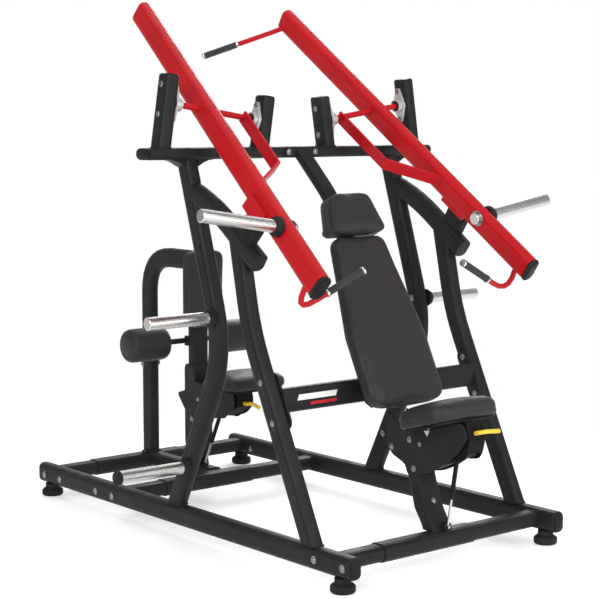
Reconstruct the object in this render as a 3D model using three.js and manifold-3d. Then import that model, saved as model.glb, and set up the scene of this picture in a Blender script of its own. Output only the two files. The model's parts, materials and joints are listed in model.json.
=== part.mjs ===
// Plate-loaded chest press and pulldown machine.
// Units are millimetres. +Z is up, -Y is the chest press side, +Y is the pulldown side,
// and +X is to the right of somebody who looks at the press side from the front.
// "left" pieces have negative X. The origin is the centre of the footprint, on the floor.
import * as THREE from 'three';
import { mergeVertices } from 'three/addons/utils/BufferGeometryUtils.js';
import Module from 'manifold-3d';

const wasm = await Module();
wasm.setup();

// ---------- driving dimensions ----------
const GAP = 0.3;                       // clearance between separate pieces that meet
const SIDES = [['left', -1], ['right', 1]];
const X_AXIS = new THREE.Vector3(1, 0, 0);
const Y_AXIS = new THREE.Vector3(0, 1, 0);
const radians = THREE.MathUtils.degToRad;

// base
const RAIL_X = 535;                    // centre of each side rail
const RAIL = { width: 60, height: 85, radius: 22, front: -1000, rear: 1125, bottom: 55 };
const RAIL_TOP = RAIL.bottom + RAIL.height;
const FOOT = { front: -933, rear: 1055, padRadius: 47, neckRadius: 31, padHeight: 32, edge: 7 };
const CROSS = { depth: 84, height: 62, radius: 26, z: 97, sleeve: 8, seamLeft: -320, seamRight: 150 };
const FRONT_TUBE_Y = -880;
const MIDDLE_TUBE_Y = 505;
const REAR_TUBE_Y = 1050;
const CENTER_BEAM = { width: 70, height: 66, radius: 18, z: 101 };

// side frames
const LEG = { width: 60, depth: 78, radius: 22 };
const FRONT_LEG = [[-772, 120], [-404, 890], [-330, 1240]];
const REAR_LEG = [[95, 120], [-233, 777], [10, 1548]];
const STOP_ARM = [[-22, 1410], [-190, 1343], [-455, 1147]];
const CROSSBAR = { halfLength: 740, depth: 104, height: 46, radius: 20, z: 1547 };
const GUSSET = { reach: 82, drop: 28, depth: 62, waist: [26, 13] };
const UPRIGHT = { width: 60, depth: 78, radius: 20 };
const LABEL_BAR = { y: -542, z: 637, depth: 40, height: 94, radius: 16 };

// arms and their pivots
const PIVOT = { x: 449, z: 1717, lean: radians(8.8) };
const ARM = { width: 56, depth: 100, radius: 24, front: -1033, rear: 674, pitch: radians(38) };
const SHAFT = { radius: 12.5, inner: -261, outer: 153 };
const BEARING = { reach: 60, boss: 27, plate: 12, height: 32 };
const BRACE = { inset: 196, bendY: -311, weldY: -479, thickness: 9, height: 50 };
const STOP_PLATE = { x: 14, width: 62, rear: -520, front: -650, thickness: 15 };
const HORN = { radius: 25, along: -727, up: 14, tip: 386, stub: 20, edge: 3 };
const BUMPER = { x: 20, along: -604, width: 46, length: 98, radius: 10, height: 84 };
const ARM_CAP = { overhang: 3, length: 12 };
const HANDLE_RADIUS = 11;
const GRIP_RADIUS = 14;
const PRESS_HANDLE = [[0, -972, -30], [0, -1000, -166], [-272, -919, 6]];
const PRESS_GRIP_LENGTH = 165;
const PULL_HANDLE = [[0, 640, -20], [-60, 665, -62], [-300, 776, -234]];
const PULL_GRIP_LENGTH = 150;

// weight storage horns on the rear legs: [name, y, z, tip X]
const STORAGE_HORNS = [['upper', -199, 921, 868], ['lower', -23, 309, 895]];

// back support and pads of the press station
const BACK_LEAN = { bottomY: -724, bottomZ: 602, angle: radians(26.4) };
const BACKREST = { length: 700, waist: 300, topWidth: 262, bottomWidth: 388, topRadius: 34,
  cornerRadius: 60, thickness: 64, bevel: 12 };
const HEADREST = { bottomY: -430, bottomZ: 1247, angle: Math.atan2(75, 150), length: 166, waist: 20,
  topWidth: 205, bottomWidth: 272, topRadius: 26, cornerRadius: 26, thickness: 100, bevel: 12 };
const SPINE = { width: 68, depth: 44, radius: 16 };
const FLANGE = { width: 170, height: 44, thickness: 8 };

// seat units: u runs forward from the column's centre line, v up along the column
const SEAT = {
  mastWidth: 76, mastDepth: 58, base: -30, columnWidth: 103, columnEdge: 9,
  cheekInner: 47, cheekOuter: 53, cheekTop: 380, rearPivots: [[58, 310], [58, 240]],
  linkLength: 180, linkAngle: radians(8), linkHalfWidth: 26, linkRadius: 13,
  pinRadius: 6, boreRadius: 6.5, carriageInner: 34, carriageOuter: 42,
  padBottom: 383, gasFoot: [48, 8], gasReach: 112,
};
const GAS = { rodRadius: 5, barrelRadius: 9, barrelBore: 5.4, barrelStart: 112, lowerEye: 10, upperEye: 13 };
const LEVER = { start: -14, standoff: 18, width: 16, height: 19, radius: 6 };
const CROSS_TOP = CROSS.z + (CROSS.height + CROSS.sleeve) / 2;
const BEAM_TOP = CENTER_BEAM.z + CENTER_BEAM.height / 2;
const FRONT_UNIT = {
  name: 'front', y: -876, z: 130, floor: CROSS_TOP, tilt: radians(16),
  nose: 290,
  column: [[-22, 374], [-64, 374], [-64, 98], [-56, 75], [-44, 42], [-31, SEAT.base], [29, SEAT.base],
    [5, 50], [-10, 110]],
  cheek: [[-64, 226], [36, 218], [111, 229], [224, 266], [288, 314], [290, 350], [276, SEAT.cheekTop],
    [-20, SEAT.cheekTop], [-112, 486], [-142, 375], [-132, 318], [-64, 268]],
  pad: { u: 162, width: 340, depth: 252, thickness: 84 },
  lever: { drop: 50, reach: 92, dip: 6 },
};
const REAR_UNIT = {
  name: 'rear', y: 672, z: 136, floor: BEAM_TOP, tilt: 0,
  mastTop: 622, nose: 342,
  column: [[40, 457], [-40, 457], [-40, 98], [-31, 78], [31, 78], [40, 98]],
  cheek: [[-22, 236], [60, 228], [150, 232], [220, 241], [288, 264], [332, 304], [335, 342],
    [314, SEAT.cheekTop], [-19, SEAT.cheekTop], [-19, 338], [-81, 319], [-81, 306]],
  pad: { u: 335, width: 320, depth: 250, thickness: 66 },
  lever: { drop: 64, reach: 58, dip: 24 },
};

// pulldown station
const REAR_POST = { y: 1050, width: 88, depth: 46, radius: 18, top: 1053, bend: 175, end: 667 };
const CHEST_PAD = { y: 634, bottom: 762, top: 1101, width: 200, thickness: 58, bevel: 12 };
const ROLLER = { y: 726, z: 691, radius: 74, inner: 146, outer: 346, bore: 13, axle: 12.5 };

// ---------- materials ----------
function finish(color, roughness, metalness) {
  return new THREE.MeshStandardMaterial({ color, roughness, metalness });
}
const FRAME_BLACK = finish(0x2e2f2f, 0.55, 0.3);
const ARM_RED = finish(0xb0242a, 0.4, 0.2);
const CHROME = finish(0xd4d4d2, 0.18, 1);
const CAST_SILVER = finish(0xb9bab8, 0.45, 0.8);
const RUBBER = finish(0x191919, 0.85, 0);
const VINYL = finish(0x3c3a38, 0.6, 0);
const PLASTIC = finish(0x141414, 0.45, 0);
const YELLOW = finish(0xe0bd30, 0.45, 0);

// ---------- solids ----------
function toSolid(geometry) {
  const bare = geometry.index ? geometry.toNonIndexed() : geometry.clone();
  bare.deleteAttribute('normal');
  bare.deleteAttribute('uv');
  const merged = mergeVertices(bare, 1e-4);
  const vertProperties = new Float32Array(merged.attributes.position.array);
  const triVerts = new Uint32Array(merged.index.array);
  return new wasm.Manifold(new wasm.Mesh({ numProp: 3, vertProperties, triVerts }));
}

function toGeometry(solid) {
  const mesh = solid.getMesh();
  const geometry = new THREE.BufferGeometry();
  geometry.setAttribute('position', new THREE.BufferAttribute(mesh.vertProperties, 3));
  geometry.setIndex(new THREE.BufferAttribute(mesh.triVerts, 1));
  geometry.computeVertexNormals();
  return geometry;
}

function join(geometries) {
  return toGeometry(geometries.map(toSolid).reduce((sum, solid) => sum.add(solid)));
}

function cut(geometry, cutters) {
  return toGeometry(cutters.map(toSolid).reduce((rest, solid) => rest.subtract(solid), toSolid(geometry)));
}

function part(name, geometry, material) {
  const mesh = new THREE.Mesh(geometry, material);
  mesh.name = name;
  return mesh;
}

function frameAt(origin, xAxis, zAxis) {
  const x = xAxis.clone().normalize();
  const z = zAxis.clone().normalize();
  const y = new THREE.Vector3().crossVectors(z, x).normalize();
  x.crossVectors(y, z);
  return new THREE.Matrix4().makeBasis(x, y, z).setPosition(origin);
}

function vector(x, y, z) {
  return new THREE.Vector3(x, y, z);
}

// ---------- shapes ----------
function roundedRect(width, height, radius, segments = 3) {
  const points = [];
  for (let i = 0; i < 4 * (segments + 1); i += 1) {
    const corner = Math.floor(i / (segments + 1));
    const angle = (Math.PI / 2) * (corner + (i % (segments + 1)) / segments);
    const x = (corner === 0 || corner === 3 ? 1 : -1) * (width / 2 - radius);
    const y = (corner < 2 ? 1 : -1) * (height / 2 - radius);
    points.push([x + radius * Math.cos(angle), y + radius * Math.sin(angle)]);
  }
  return polygon(points);
}

function circle(radius, segments = 14) {
  const turns = Array.from({ length: segments }, (_, i) => (2 * Math.PI * i) / segments);
  return polygon(turns.map((angle) => [radius * Math.cos(angle), radius * Math.sin(angle)]));
}

function polygon(points) {
  return new THREE.Shape(points.map(([x, y]) => new THREE.Vector2(x, y)));
}

// A point may carry a corner radius of its own as a third value.
function roundedPolygon(points, radius) {
  const shape = new THREE.Shape();
  points.forEach((point, i) => {
    const [x, y, ownRadius = radius] = point;
    const corner = new THREE.Vector2(x, y);
    const before = new THREE.Vector2(...points[(i + points.length - 1) % points.length]).sub(corner);
    const after = new THREE.Vector2(...points[(i + 1) % points.length]).sub(corner);
    const reach = Math.min(ownRadius, before.length() / 2.2, after.length() / 2.2);
    const start = corner.clone().addScaledVector(before.normalize(), reach);
    const end = corner.clone().addScaledVector(after.normalize(), reach);
    if (i === 0) shape.moveTo(start.x, start.y);
    else shape.lineTo(start.x, start.y);
    shape.quadraticCurveTo(corner.x, corner.y, end.x, end.y);
  });
  shape.closePath();
  return shape;
}

// ---------- bars, tubes and plates ----------
function bar(shape, start, end, side) {
  const direction = end.clone().sub(start);
  const options = { depth: direction.length(), bevelEnabled: false, curveSegments: 3 };
  return new THREE.ExtrudeGeometry(shape, options).applyMatrix4(frameAt(start, side, direction));
}

function endRoundedBar(shape, start, end, side, bevel) {
  const direction = end.clone().sub(start);
  const geometry = new THREE.ExtrudeGeometry(shape, {
    depth: direction.length() - 2 * bevel, curveSegments: 3,
    bevelEnabled: true, bevelThickness: bevel, bevelSize: bevel, bevelOffset: -bevel, bevelSegments: 2,
  });
  geometry.translate(0, 0, bevel);
  return geometry.applyMatrix4(frameAt(start, side, direction));
}

// A path that is sampled only at its own stations, so a straight run costs a single step.
class StationPath extends THREE.Curve {
  constructor(stations) {
    super();
    this.stations = stations;
  }

  station(u) {
    return this.stations[Math.round(u * (this.stations.length - 1))];
  }

  getPointAt(u, target = new THREE.Vector3()) {
    return target.copy(this.station(u).point);
  }

  getTangentAt(u, target = new THREE.Vector3()) {
    return target.copy(this.station(u).tangent);
  }
}

function bentTube(shape, points, reach, bendSteps) {
  const towards = (from, to) => to.clone().sub(from).normalize();
  const last = points.length - 1;
  const stations = [{ point: points[0], tangent: towards(points[0], points[1]) }];
  for (let i = 1; i < last; i += 1) {
    const start = points[i].clone().addScaledVector(towards(points[i], points[i - 1]), reach);
    const end = points[i].clone().addScaledVector(towards(points[i], points[i + 1]), reach);
    const bend = new THREE.QuadraticBezierCurve3(start, points[i], end);
    for (let step = 0; step <= bendSteps; step += 1) {
      stations.push({ point: bend.getPoint(step / bendSteps), tangent: bend.getTangent(step / bendSteps) });
    }
  }
  stations.push({ point: points[last], tangent: towards(points[last - 1], points[last]) });
  const extrudePath = new StationPath(stations);
  return new THREE.ExtrudeGeometry(shape, { steps: stations.length - 1, extrudePath, bevelEnabled: false });
}

function sidePath(points, x) {
  return points.map(([y, z]) => vector(x, y, z));
}

function rod(radius, start, end, segments = 16) {
  const direction = end.clone().sub(start);
  const geometry = new THREE.CylinderGeometry(radius, radius, direction.length(), segments);
  geometry.rotateX(Math.PI / 2).translate(0, 0, direction.length() / 2);
  const side = Math.abs(direction.clone().normalize().x) > 0.9 ? Y_AXIS : X_AXIS;
  return geometry.applyMatrix4(frameAt(start, side, direction));
}

function ring(outer, inner, start, end, segments = 18) {
  const length = end.distanceTo(start);
  const profile = [[inner, 0], [outer, 0], [outer, length], [inner, length], [inner, 0]];
  const geometry = new THREE.LatheGeometry(profile.map(([r, h]) => new THREE.Vector2(r, h)), segments);
  geometry.rotateX(Math.PI / 2);
  const direction = end.clone().sub(start);
  const side = Math.abs(direction.clone().normalize().x) > 0.9 ? Y_AXIS : X_AXIS;
  return geometry.applyMatrix4(frameAt(start, side, direction));
}

function box(lowX, highX, lowY, highY, lowZ, highZ) {
  const geometry = new THREE.BoxGeometry(highX - lowX, highY - lowY, highZ - lowZ);
  return geometry.translate((lowX + highX) / 2, (lowY + highY) / 2, (lowZ + highZ) / 2);
}

// A plate whose outline is in the plane across X, between two X values.
function sidePlate(shape, lowX, highX) {
  const options = { depth: highX - lowX, bevelEnabled: false, curveSegments: 2 };
  return new THREE.ExtrudeGeometry(shape, options).applyMatrix4(frameAt(vector(lowX, 0, 0), Y_AXIS, X_AXIS));
}

// Two like plates, one on each side of the middle plane.
function platePair(shape, inner, outer) {
  return [sidePlate(shape, -outer, -inner), sidePlate(shape, inner, outer)];
}

// A block with the given side outline, centred on X, with its side rims bevelled.
function roundedSideBlock(shape, width, bevel) {
  const geometry = new THREE.ExtrudeGeometry(shape, {
    depth: width - 2 * bevel, curveSegments: 2,
    bevelEnabled: true, bevelThickness: bevel, bevelSize: bevel, bevelOffset: -bevel, bevelSegments: 2,
  });
  geometry.translate(0, 0, bevel);
  return geometry.applyMatrix4(frameAt(vector(-width / 2, 0, 0), Y_AXIS, X_AXIS));
}

// ---------- base ----------
function baseRail(side, sign) {
  const x = sign * RAIL_X;
  const z = RAIL.bottom + RAIL.height / 2;
  const section = roundedRect(RAIL.width, RAIL.height, RAIL.radius);
  const rail = endRoundedBar(section, vector(x, RAIL.front, z), vector(x, RAIL.rear, z), X_AXIS, 7);
  const seam = sign < 0 ? CROSS.seamLeft - GAP : CROSS.seamRight + GAP;
  const stubSection = roundedRect(CROSS.depth, CROSS.height, CROSS.radius);
  const lowX = Math.min(x, seam);
  const highX = Math.max(x, seam);
  const stubs = [FRONT_TUBE_Y, MIDDLE_TUBE_Y, REAR_TUBE_Y].map((y) =>
    bar(stubSection, vector(lowX, y, CROSS.z), vector(highX, y, CROSS.z), Y_AXIS));
  return part(`${side}_base_rail`, join([rail, ...stubs]), FRAME_BLACK);
}

function crossTubeBar(y) {
  const { depth, height, radius, sleeve } = CROSS;
  const section = roundedRect(depth + sleeve, height + sleeve, radius + sleeve / 2);
  const start = vector(CROSS.seamLeft + GAP, y, CROSS.z);
  return bar(section, start, vector(CROSS.seamRight - GAP, y, CROSS.z), Y_AXIS);
}

function rearCrossTube() {
  const section = roundedRect(CENTER_BEAM.width, CENTER_BEAM.height, CENTER_BEAM.radius);
  const front = MIDDLE_TUBE_Y + (CROSS.depth + CROSS.sleeve) / 2 + GAP;
  const beam = bar(section, vector(0, front, CENTER_BEAM.z), vector(0, REAR_TUBE_Y, CENTER_BEAM.z), X_AXIS);
  return part('rear_cross_tube', join([crossTubeBar(REAR_TUBE_Y), beam]), FRAME_BLACK);
}

function foot(name, x, y) {
  const top = RAIL.bottom - GAP;
  const { padRadius, neckRadius, padHeight, edge } = FOOT;
  const profile = [[0, 0], [padRadius - edge, 0], [padRadius, edge], [padRadius, padHeight - edge],
    [padRadius - edge, padHeight], [neckRadius, padHeight], [neckRadius, top], [0, top]];
  const geometry = new THREE.LatheGeometry(profile.map(([r, h]) => new THREE.Vector2(r, h)), 20);
  geometry.rotateX(Math.PI / 2).translate(x, y, 0);
  return part(name, geometry, RUBBER);
}

// ---------- side frames ----------
function legSection(growth = 0) {
  return roundedRect(LEG.width + growth, LEG.depth + growth, LEG.radius + growth / 2);
}

function stopArm(x, growth = 0) {
  return bentTube(legSection(growth), sidePath(STOP_ARM, x), 110, 4);
}

function floorCutter() {
  return box(-700, 700, -1100, 1200, -50, RAIL_TOP + GAP);
}

function frontLeg(side, sign) {
  const x = sign * RAIL_X;
  const tube = bentTube(legSection(), sidePath(FRONT_LEG, x), 110, 5);
  const aboveStopArm = box(x - 60, x + 60, -460, -200, 1222, 1300);
  return part(`${side}_front_leg`, cut(tube, [floorCutter(), stopArm(x, 2 * GAP), aboveStopArm]), FRAME_BLACK);
}

function rearLeg(side, sign) {
  const x = sign * RAIL_X;
  const tube = bentTube(legSection(), sidePath(REAR_LEG, x), 190, 8);
  const crossbarBottom = CROSSBAR.z - CROSSBAR.height / 2 - GAP;
  const aboveCrossbar = box(x - 80, x + 80, -200, 200, crossbarBottom, 1700);
  return part(`${side}_rear_leg`, cut(join([tube, stopArm(x)]), [floorCutter(), aboveCrossbar]), FRAME_BLACK);
}

// The four uprights lean towards the middle by PIVOT.lean, so a point on one is given by its height.
function uprightAxis(topX, topZ, sign) {
  const bottomZ = CROSSBAR.z;
  const bottomX = topX + (topZ - bottomZ) * Math.tan(PIVOT.lean);
  return [vector(sign * bottomX, 0, bottomZ), vector(sign * topX, 0, topZ)];
}

// A curved web under the crossbar, beside a leg. direction is the side of the leg that it is on.
function gusset(x, direction) {
  const under = CROSSBAR.z - CROSSBAR.height / 2;
  const overlap = 5;
  const [waistX, waistZ] = GUSSET.waist;
  const shape = polygon([[0, under + overlap], [0, under - GUSSET.drop], [waistX, under - waistZ],
    [GUSSET.reach * 0.6, under - 4], [GUSSET.reach, under], [GUSSET.reach, under + overlap]]);
  const geometry = new THREE.ExtrudeGeometry(shape, { depth: GUSSET.depth, bevelEnabled: false });
  geometry.rotateX(Math.PI / 2).translate(0, GUSSET.depth / 2, 0);
  if (direction < 0) geometry.rotateZ(Math.PI);
  return geometry.translate(x, 0, 0);
}

function crossbarFrame() {
  const section = roundedRect(CROSSBAR.depth, CROSSBAR.height, CROSSBAR.radius);
  const end = vector(CROSSBAR.halfLength, 0, CROSSBAR.z);
  const pieces = [endRoundedBar(section, end.clone().setX(-end.x), end, Y_AXIS, 6)];
  const uprightSection = roundedRect(UPRIGHT.width, UPRIGHT.depth, UPRIGHT.radius);
  for (const [, sign] of SIDES) {
    for (const [topX, topZ] of [[616, 1850], [144, 1770]]) {
      const [bottom, top] = uprightAxis(topX, topZ, sign);
      const across = vector(Math.cos(PIVOT.lean), 0, sign * Math.sin(PIVOT.lean));
      pieces.push(endRoundedBar(uprightSection, bottom, top, across, 4));
    }
    const legHalf = LEG.width / 2 + GAP;
    pieces.push(gusset(sign * (RAIL_X + legHalf), sign), gusset(sign * (RAIL_X - legHalf), -sign));
  }
  return part('crossbar_frame', join(pieces), FRAME_BLACK);
}

function labelBar() {
  const section = roundedRect(LABEL_BAR.depth, LABEL_BAR.height, LABEL_BAR.radius);
  const end = RAIL_X - LEG.width / 2 - GAP;
  const start = vector(-end, LABEL_BAR.y, LABEL_BAR.z);
  const geometry = bar(section, start, start.clone().setX(end), Y_AXIS);
  return part('front_tie_bar', geometry, FRAME_BLACK);
}

function storageHorn(side, sign, [level, y, z, tip]) {
  const start = vector(sign * (RAIL_X + LEG.width / 2 + GAP), y, z);
  const { radius, edge } = HORN;
  const length = tip - Math.abs(start.x);
  const profile = [[0, 0], [radius, 0], [radius, length - edge], [radius - edge, length], [0, length]];
  const geometry = new THREE.LatheGeometry(profile.map(([r, h]) => new THREE.Vector2(r, h)), 24);
  geometry.rotateX(Math.PI / 2).applyMatrix4(frameAt(start, Y_AXIS, vector(sign, 0, 0)));
  return part(`${side}_${level}_storage_horn`, geometry, CHROME);
}

// ---------- arms ----------
// The arm frame has its origin on the pivot, x along the pivot axis, y along the arm to the rear.
function pivotGroup(sign) {
  const group = new THREE.Group();
  group.position.set(sign * PIVOT.x, 0, PIVOT.z);
  group.rotation.y = -sign * PIVOT.lean;
  return group;
}

function armGroup(sign) {
  const group = new THREE.Group();
  group.rotation.x = ARM.pitch;
  const outer = pivotGroup(sign);
  outer.add(group);
  return { outer, group };
}

function armPath(points, sign) {
  return points.map(([x, y, z]) => vector(sign * x, y, z));
}

function braceOutline(sign) {
  const half = BRACE.thickness / 2;
  const inner = BRACE.inset + half;
  const outer = BRACE.inset - half;
  const reach = 10;
  const points = [[inner, reach], [inner, BRACE.bendY - half], [reach, BRACE.weldY - half],
    [reach, BRACE.weldY + 2 * half], [outer, BRACE.bendY + half], [outer, reach]];
  return polygon(points.map(([x, y]) => [-sign * x, y]));
}

function pressArm(side, sign) {
  const front = vector(0, ARM.front, 0);
  const rear = vector(0, ARM.rear, 0);
  const tube = endRoundedBar(roundedRect(ARM.width, ARM.depth, ARM.radius), front, rear, X_AXIS, 7);
  const shaft = rod(SHAFT.radius, vector(sign * SHAFT.inner, 0, 0), vector(sign * SHAFT.outer, 0, 0), 20);
  const brace = new THREE.ExtrudeGeometry(braceOutline(sign), { depth: BRACE.height, bevelEnabled: false });
  brace.translate(0, 0, -BRACE.height / 2);
  const low = STOP_PLATE.x - STOP_PLATE.width / 2;
  const high = STOP_PLATE.x + STOP_PLATE.width / 2;
  const plateX = [sign * low, sign * high].sort((a, b) => a - b);
  const bottom = -ARM.depth / 2 - STOP_PLATE.thickness;
  const stop = box(plateX[0], plateX[1], STOP_PLATE.front, STOP_PLATE.rear, bottom, 0);
  const handles = [[PRESS_HANDLE, 112], [PULL_HANDLE, 30]].map(([points, reach]) =>
    bentTube(circle(HANDLE_RADIUS, 12), armPath(points, sign), reach, 5));
  const bore = rod(HORN.radius + GAP, vector(-60, HORN.along, HORN.up), vector(60, HORN.along, HORN.up), 24);
  return part(`${side}_arm`, cut(join([tube, shaft, brace, stop, ...handles]), [bore]), ARM_RED);
}

function armCap(side) {
  const start = vector(0, ARM.front - GAP, 0);
  const end = vector(0, ARM.front - GAP - ARM_CAP.length, 0);
  const growth = ARM_CAP.overhang;
  const section = roundedRect(ARM.width + growth, ARM.depth + growth, ARM.radius + growth / 2);
  return part(`${side}_arm_end_cap`, endRoundedBar(section, end, start, X_AXIS, 3), RUBBER);
}

function weightHorn(side, sign) {
  const inner = -ARM.width / 2 - HORN.stub;
  const length = HORN.tip - inner;
  const { radius, edge } = HORN;
  const profile = [[0, 0], [radius - edge, 0], [radius, edge], [radius, length - edge],
    [radius - edge, length], [0, length]];
  const geometry = new THREE.LatheGeometry(profile.map(([r, h]) => new THREE.Vector2(r, h)), 24);
  geometry.rotateX(Math.PI / 2);
  geometry.applyMatrix4(frameAt(vector(sign * inner, HORN.along, HORN.up), Y_AXIS, vector(sign, 0, 0)));
  return part(`${side}_weight_horn`, geometry, CHROME);
}

function grip(name, points, length, sign) {
  const path = armPath(points, sign);
  const tip = path[path.length - 1];
  const back = path[path.length - 2].clone().sub(tip).normalize();
  const start = tip.clone().addScaledVector(back, 1);
  const end = tip.clone().addScaledVector(back, length);
  return part(name, ring(GRIP_RADIUS, HANDLE_RADIUS + GAP, start, end), RUBBER);
}

function bearing(side, sign, place) {
  const outerUpright = place === 'outer';
  const shaftEnd = outerUpright ? SHAFT.outer : SHAFT.inner;
  const inward = outerUpright ? -1 : 1;
  const back = sign * (shaftEnd + (outerUpright ? 1 : -1));
  const direction = vector(sign * inward, 0, 0);
  const flange = new THREE.Shape();
  const round = 13;
  const lean = 0.72;
  flange.absarc(0, BEARING.reach, round, lean, Math.PI - lean);
  flange.absarc(0, 0, BEARING.boss + 4, Math.PI - lean / 3, Math.PI + lean / 3);
  flange.absarc(0, -BEARING.reach, round, Math.PI + lean, 2 * Math.PI - lean);
  flange.absarc(0, 0, BEARING.boss + 4, -lean / 3, lean / 3);
  flange.closePath();
  const start = vector(back, 0, 0);
  const plate = bar(flange, start, start.clone().addScaledVector(direction, BEARING.plate), Y_AXIS);
  const boss = rod(BEARING.boss, start, start.clone().addScaledVector(direction, BEARING.height), 24);
  const bore = rod(SHAFT.radius + GAP, start.clone().addScaledVector(direction, -5),
    start.clone().addScaledVector(direction, 2 * BEARING.height), 20);
  return part(`${side}_${place}_bearing`, cut(join([plate, boss]), [bore]), CAST_SILVER);
}

function bumper(side, sign) {
  const frame = new THREE.Matrix4().makeRotationY(-sign * PIVOT.lean).setPosition(sign * PIVOT.x, 0, PIVOT.z);
  frame.multiply(new THREE.Matrix4().makeRotationX(ARM.pitch));
  const top = vector(sign * BUMPER.x, BUMPER.along, -ARM.depth / 2 - STOP_PLATE.thickness - 1);
  const bottom = top.clone().setZ(top.z - BUMPER.height);
  const section = roundedRect(BUMPER.width, BUMPER.length, BUMPER.radius);
  const block = endRoundedBar(section, bottom, top, X_AXIS, 5);
  const grown = stopArm(sign * RAIL_X, 2 * GAP);
  const solid = toSolid(block.applyMatrix4(frame)).subtract(toSolid(grown));
  const pieces = solid.decompose().sort((a, b) => b.boundingBox().max[2] - a.boundingBox().max[2]);
  return part(`${side}_rubber_bumper`, toGeometry(pieces[0]), RUBBER);
}

function armAssembly(side, sign) {
  const { outer, group } = armGroup(sign);
  group.add(pressArm(side, sign), armCap(side), weightHorn(side, sign));
  group.add(grip(`${side}_press_grip`, PRESS_HANDLE, PRESS_GRIP_LENGTH, sign));
  group.add(grip(`${side}_pulldown_grip`, PULL_HANDLE, PULL_GRIP_LENGTH, sign));
  outer.add(bearing(side, sign, 'outer'), bearing(side, sign, 'inner'));
  return outer;
}

// ---------- press station ----------
// Pads are drawn in their own plane, with the width along x and the length along y.
function padOutline({ topWidth, bottomWidth, waist, length, topRadius, cornerRadius }, inset) {
  const bottom = bottomWidth / 2 - inset;
  const top = topWidth / 2 - inset;
  return roundedPolygon([[-bottom, inset], [bottom, inset], [bottom, waist], [top, length - inset, topRadius],
    [-top, length - inset, topRadius], [-bottom, waist]], cornerRadius);
}

function leaningPadGeometry(pad) {
  const depth = pad.thickness - 2 * pad.bevel;
  const geometry = new THREE.ExtrudeGeometry(padOutline(pad, pad.bevel), {
    depth, curveSegments: 5,
    bevelEnabled: true, bevelThickness: pad.bevel, bevelSize: pad.bevel, bevelSegments: 3,
  });
  geometry.translate(0, 0, -pad.thickness + pad.bevel);
  const up = vector(0, Math.sin(pad.angle), Math.cos(pad.angle));
  const normal = vector(0, -up.z, up.y);
  return geometry.applyMatrix4(frameAt(vector(0, pad.bottomY, pad.bottomZ), X_AXIS, normal));
}

function leaningPad(name, pad) {
  return part(name, leaningPadGeometry(pad), VINYL);
}

// Centre line of the spine: a fixed depth behind the front face of the backrest.
function spinePoint(along, depth) {
  const up = vector(0, Math.sin(BACK_LEAN.angle), Math.cos(BACK_LEAN.angle));
  const inward = vector(0, up.z, -up.y);
  const bottom = vector(0, BACK_LEAN.bottomY, BACK_LEAN.bottomZ);
  return bottom.addScaledVector(up, along).addScaledVector(inward, depth);
}

function backSupport() {
  const section = roundedRect(SPINE.width, SPINE.depth, SPINE.radius);
  const depth = BACKREST.thickness + GAP + SPINE.depth / 2;
  const crossbarFace = -CROSSBAR.depth / 2 - GAP;
  const neckTop = vector(0, crossbarFace - FLANGE.thickness / 2, CROSSBAR.z - 4);
  const tube = bentTube(section, [neckTop, spinePoint(880, depth), spinePoint(40, depth)], 90, 6);
  const flange = box(-FLANGE.width / 2, FLANGE.width / 2, crossbarFace - FLANGE.thickness, crossbarFace,
    CROSSBAR.z - FLANGE.height / 2, CROSSBAR.z + FLANGE.height / 2);
  const beyond = box(-200, 200, crossbarFace, 200, 1300, 1700);
  const tieFace = LABEL_BAR.y - LABEL_BAR.depth / 2 - GAP;
  const bracket = box(-30, 30, tieFace - 80, tieFace, LABEL_BAR.z - 36, LABEL_BAR.z + 36);
  const pads = [HEADREST, { ...BACKREST, ...BACK_LEAN }].map((pad) =>
    leaningPadGeometry({ ...pad, thickness: pad.thickness + GAP }));
  return part('back_support', cut(join([tube, flange, bracket]), [beyond, ...pads]), FRAME_BLACK);
}

// ---------- seat units ----------
function unitGroup(unit) {
  const group = new THREE.Group();
  group.position.set(0, unit.y, unit.z);
  group.rotation.x = -unit.tilt;
  return group;
}

// Outline points are given as [u, v]; in the unit's group u points to -Y and v to +Z.
function outline(points) {
  return points.map(([u, v]) => [-u, v]);
}

function pinAt([u, v], halfLength, radius, segments = 16) {
  return rod(radius, vector(-halfLength, -u, v), vector(halfLength, -u, v), segments);
}

function linkEnd([u, v], extra = 0) {
  const angle = SEAT.linkAngle + extra;
  return [u + SEAT.linkLength * Math.cos(angle), v + SEAT.linkLength * Math.sin(angle)];
}

function seatColumn(unit) {
  const mastSection = roundedRect(SEAT.mastWidth, SEAT.mastDepth, 12);
  const mastBottom = vector(0, 0, SEAT.base);
  const mast = unit.mastTop ? [bar(mastSection, mastBottom, vector(0, 0, unit.mastTop), X_AXIS)] : [];
  const column = roundedSideBlock(roundedPolygon(outline(unit.column), 24), SEAT.columnWidth, SEAT.columnEdge);
  const cheekOutline = roundedPolygon(outline(unit.cheek), 16);
  const cheeks = platePair(cheekOutline, SEAT.cheekInner, SEAT.cheekOuter);
  const pins = SEAT.rearPivots.map((pivot) => pinAt(pivot, SEAT.cheekOuter - 1, SEAT.pinRadius));
  const gasLug = sidePlate(polygon(outline([[4, -2], [54, -2], [58, 16], [44, 28], [4, 28]])), 7, 13);
  const [footU, footV] = SEAT.gasFoot;
  const gasPin = rod(4, vector(-8, -footU, footV), vector(10, -footU, footV), 12);
  const floor = box(-100, 100, -200, 200, -200, unit.floor + GAP - unit.z);
  floor.applyMatrix4(new THREE.Matrix4().makeRotationX(unit.tilt));
  const body = cut(join([column, ...mast, ...cheeks, ...pins, gasLug, gasPin]), [floor]);
  return part(`${unit.name}_seat_column`, body, FRAME_BLACK);
}

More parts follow.
